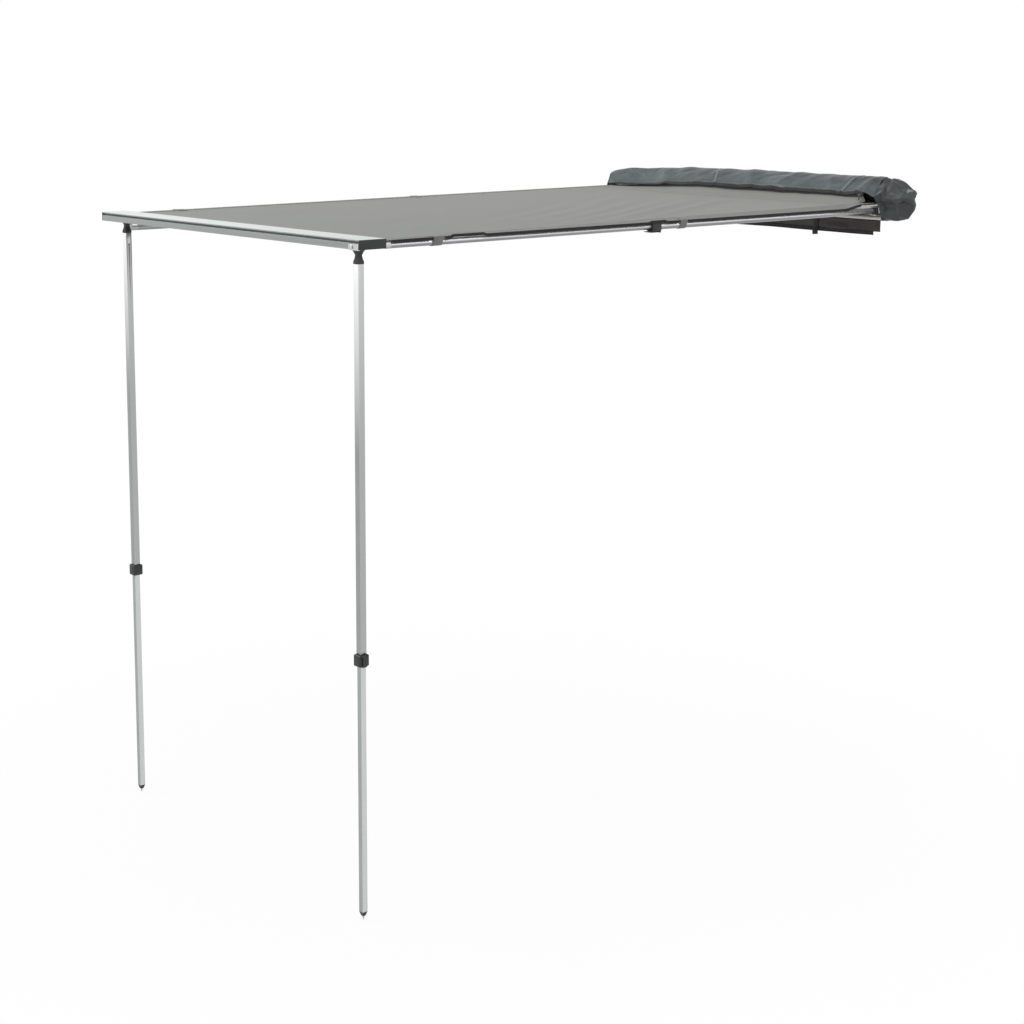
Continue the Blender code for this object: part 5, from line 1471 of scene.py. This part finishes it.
        # The crumpled end gets the darker copy of the cover cloth, as painted shade.
        dress(piece, self.palette.get("gusset"))
        enrol(piece, "cover", f"cover_end_{end.value}")

    def build(self) -> None:
        """Makes the whole cover."""
        self.hood()
        self.hood_lining()
        self.hood_zip()
        self.flap()
        self.flap_zip()
        for end in End:
            self.strap(end)
            self.bunched_end(end)


@dataclass
class RigidParts:
    """The metal and moulded parts: each keeps its CAD shape and gets softened edges and its finish."""

    palette: Palette
    nodes: dict
    body_of: dict
    edge: float = 0.00035
    weld: float = 0.00002
    flat: float = 0.5
    corner: float = 35.0
    sharp: float = 32.0
    # The box round the beam groove's faces, which get painted shade.
    groove: tuple[Point, Point] = ((-1.0, -2.3998, -0.0049), (1.0, -2.3940, 0.0019))
    finishes: tuple[tuple[str, str], ...] = (
        ("front_beam", "extrusion"), ("back_plate", "plate"), ("beam_cap", "moulding"),
        ("arm_bracket", "steel"), ("arm_pin", "bright_steel"), ("arm_socket", "tube_along_y"),
        ("arm_plug", "moulding"), ("arm_outer", "tube_along_y"), ("arm_inner", "tube_along_y"),
        ("arm_lock", "moulding"), ("arm_lever", "moulding"), ("arm_tip", "tube_along_y"),
        ("bar_bracket", "black_steel"), ("bar_bolt", "bright_steel"),
        ("leg_clip", "bright_steel"), ("leg_pin", "bright_steel"),
        ("leg_knuckle", "moulding"), ("leg_upper", "tube_along_z"), ("leg_collar", "moulding"),
        ("leg_lever", "moulding"), ("leg_lower", "lower_tube"), ("leg_foot", "moulding"),
        ("leg_spike", "steel"), ("zip_slider", "zip_metal"))

    def finish_of(self, node: str) -> Optional[str]:
        """Returns the finish of a CAD node, or None where a soft piece replaces it.

        Args:
            node: the CAD node's name.
        """
        for word, finish in self.finishes:
            if word in node:
                return finish
        return None

    def soften(self, node: str) -> Piece:
        """Makes a copy of a CAD node with joined faces, small rounded edges and smooth curves.

        Args:
            node: the CAD node's name.

        Returns:
            The new piece.
        """
        shape = bmesh.new()
        shape.from_mesh(self.nodes[node].data)
        bmesh.ops.remove_doubles(shape, verts=shape.verts, dist=self.weld)
        bmesh.ops.dissolve_limit(shape, angle_limit=math.radians(self.flat), verts=shape.verts,
                                 edges=shape.edges)
        mesh = bpy.data.meshes.new(node + "_finished")
        shape.to_mesh(mesh)
        shape.free()
        piece = new_object(node + "_finished", mesh)
        round_off = piece.modifiers.new("edges", "BEVEL")
        round_off.width = self.edge
        round_off.segments = 2
        round_off.limit_method = "ANGLE"
        round_off.angle_limit = math.radians(self.corner)
        round_off.use_clamp_overlap = True
        bake(piece)
        piece.data.shade_smooth()
        piece.data.set_sharp_from_angle(angle=math.radians(self.sharp))
        return piece

    def paint_shade_in_groove(self, beam: Piece) -> None:
        """Paints shade into the groove along the beam's front: its faces get a darker, rougher copy of the
        extrusion's colour.

        Args:
            beam: the finished beam.
        """
        beam.data.materials.append(self.palette.get("groove"))
        low, high = self.groove
        for face in beam.data.polygons:
            if all(low[axis] < face.center[axis] < high[axis] for axis in range(3)):
                face.material_index = 1

    def build(self) -> None:
        """Finishes every rigid node."""
        slots = node_slots()
        for node in sorted(self.nodes):
            finish = self.finish_of(node)
            if finish is None:
                continue
            piece = dress(self.soften(node), self.palette.get(finish))
            # The beam's groove gets painted shade.
            if node == "front_beam":
                self.paint_shade_in_groove(piece)
            enrol(piece, slots[node], node, self.body_of[node])


def node_slots() -> dict:
    """Returns the record's material slot of each CAD node."""
    return {part["node"]: part["material_slot"] for part in frame["record"]["subparts"]}


# Studio


@dataclass(frozen=True)
class Lamp:
    """A square lamp: where it hangs, what it faces, its side in metres and its power in watts."""

    name: str
    place: Point
    aim: Point
    size: float
    power: float


@dataclass
class Studio:
    """A plain pale floor, soft light and the camera."""

    ground: float = -2.025
    lens: float = 67.285
    shift: float = -0.12891
    place: Point = (4.945, -5.6593, 0.46743)
    yaw: float = 0.83592
    pitch: float = -0.15884
    roll: float = 0.00538
    sky_strength: float = 0.28
    floor_size: float = 40.0
    floor_drop: float = 0.0005
    floor_colour: Colour = (0.90, 0.90, 0.90)
    fade_middle: float = 1.6
    fade_reach: float = 3.0
    fade_least: float = 0.95
    lamps: tuple[Lamp, ...] = (
        Lamp("key", (-3.5, -5.0, 5.0), (0.0, -1.2, -0.5), 2.2, 290.0),
        Lamp("fill", (5.0, -1.5, 3.5), (0.0, -1.2, -0.8), 3.5, 60.0))

    def camera(self) -> None:
        """Makes the camera."""
        level = math.cos(self.pitch)
        forward = Vector((-math.sin(self.yaw) * level, math.cos(self.yaw) * level, math.sin(self.pitch)))
        right = Vector((math.cos(self.yaw), math.sin(self.yaw), 0.0))
        up = right.cross(forward)
        turned = right * math.cos(self.roll) + up * math.sin(self.roll)
        above = up * math.cos(self.roll) - right * math.sin(self.roll)
        data = bpy.data.cameras.new("camera")
        data.lens = self.lens
        data.sensor_width = 36.0
        data.sensor_fit = "HORIZONTAL"
        data.shift_y = self.shift
        data.clip_end = 200.0
        camera = new_object("camera", data)
        turn = Matrix((turned, above, -forward)).transposed().to_4x4()
        camera.matrix_world = Matrix.Translation(Vector(self.place)) @ turn
        bpy.context.scene.camera = camera

    def seen(self, bench: NodeBench) -> Socket:
        """Returns 1 for rays that show the background: from the camera, a gloss or a glass.

        Args:
            bench: the builder of the tree that asks.
        """
        path = bench.add("ShaderNodeLightPath").outputs
        share = path["Is Camera Ray"]
        for name in ("Is Glossy Ray", "Is Transmission Ray"):
            share = bench.maths("MAXIMUM", share, path[name])
        return share

    def sky(self) -> None:
        """Makes the world: an even white light that shows as white."""
        world = bpy.data.worlds.new("studio")
        world.use_nodes = True
        bench = NodeBench(world.node_tree)
        level = bench.add("ShaderNodeMapRange", {"Value": self.seen(bench), "To Min": self.sky_strength,
                                                 "To Max": 1.0})
        back = bench.tree.nodes["Background"].inputs
        bench.feed(back["Color"], (1.0, 1.0, 1.0))
        bench.feed(back["Strength"], level.outputs["Result"])
        bpy.context.scene.world = world

    def floor(self) -> None:
        """Makes the floor, white far off and shaded by the awning near it."""
        size, level = self.floor_size, self.ground - self.floor_drop
        mesh = bpy.data.meshes.new("floor")
        mesh.from_pydata([(x * size, y * size, level) for x, y in ((-1, -1), (1, -1), (1, 1), (-1, 1))],
                         [], [(0, 1, 2, 3)])
        floor = new_object("floor", mesh)
        material = bpy.data.materials.new("floor")
        material.use_nodes = True
        bench = NodeBench(material.node_tree)
        bench.tree.nodes.clear()
        place = bench.add("ShaderNodeTexCoord").outputs["Object"]
        shift = bench.add("ShaderNodeMapping", {"Vector": place,
                                                "Location": (0.0, self.fade_middle, -self.ground)})
        far = bench.add("ShaderNodeVectorMath", {0: shift.outputs["Vector"]}, operation="LENGTH")
        fade = bench.add("ShaderNodeMapRange", {"Value": far.outputs["Value"], "From Max": self.fade_reach,
                                                "To Min": self.fade_least}, interpolation_type="SMOOTHSTEP")
        matt = bench.add("ShaderNodeBsdfDiffuse", {"Color": self.floor_colour})
        glow = bench.add("ShaderNodeEmission")
        mix = bench.add("ShaderNodeMixShader", {
            0: bench.maths("MULTIPLY", fade.outputs["Result"], self.seen(bench)),
            1: matt.outputs["BSDF"], 2: glow.outputs["Emission"]})
        bench.add("ShaderNodeOutputMaterial", {"Surface": mix.outputs["Shader"]})
        floor.data.materials.append(material)

    def lamp(self, lamp: Lamp) -> None:
        """Hangs a soft square lamp.

        Args:
            lamp: its place, aim, size and power.
        """
        data = bpy.data.lights.new(lamp.name, "AREA")
        data.shape = "SQUARE"
        data.size = lamp.size
        data.energy = lamp.power
        piece = new_object(lamp.name, data)
        piece.location = Vector(lamp.place)
        piece.rotation_euler = (Vector(lamp.aim) - Vector(lamp.place)).to_track_quat("-Z", "Y").to_euler()

    def build(self) -> None:
        """Sets up the whole studio."""
        bpy.context.scene.view_settings.view_transform = "Standard"
        self.camera()
        self.sky()
        self.floor()
        for lamp in self.lamps:
            self.lamp(lamp)


def main() -> None:
    """Builds the awning's looks and the studio."""
    logging.basicConfig(level=logging.INFO, format="%(name)s: %(message)s")
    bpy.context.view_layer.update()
    palette = Palette()
    body_of = {node: body for body, nodes in frame["record"]["behaviour"]["bodies"].items() for node in nodes}
    Studio().build()
    log.info("studio set up")
    rows = RowOfCopies("row_of_copies")
    Canopy(palette, rows).build()
    log.info("canopy, hems and loops made")
    Cover(palette, rows).build()
    log.info("cover, zip and straps made")
    RigidParts(palette, frame["nodes"], body_of).build()
    log.info("rigid parts finished")


if __name__ == "__main__":
    main()
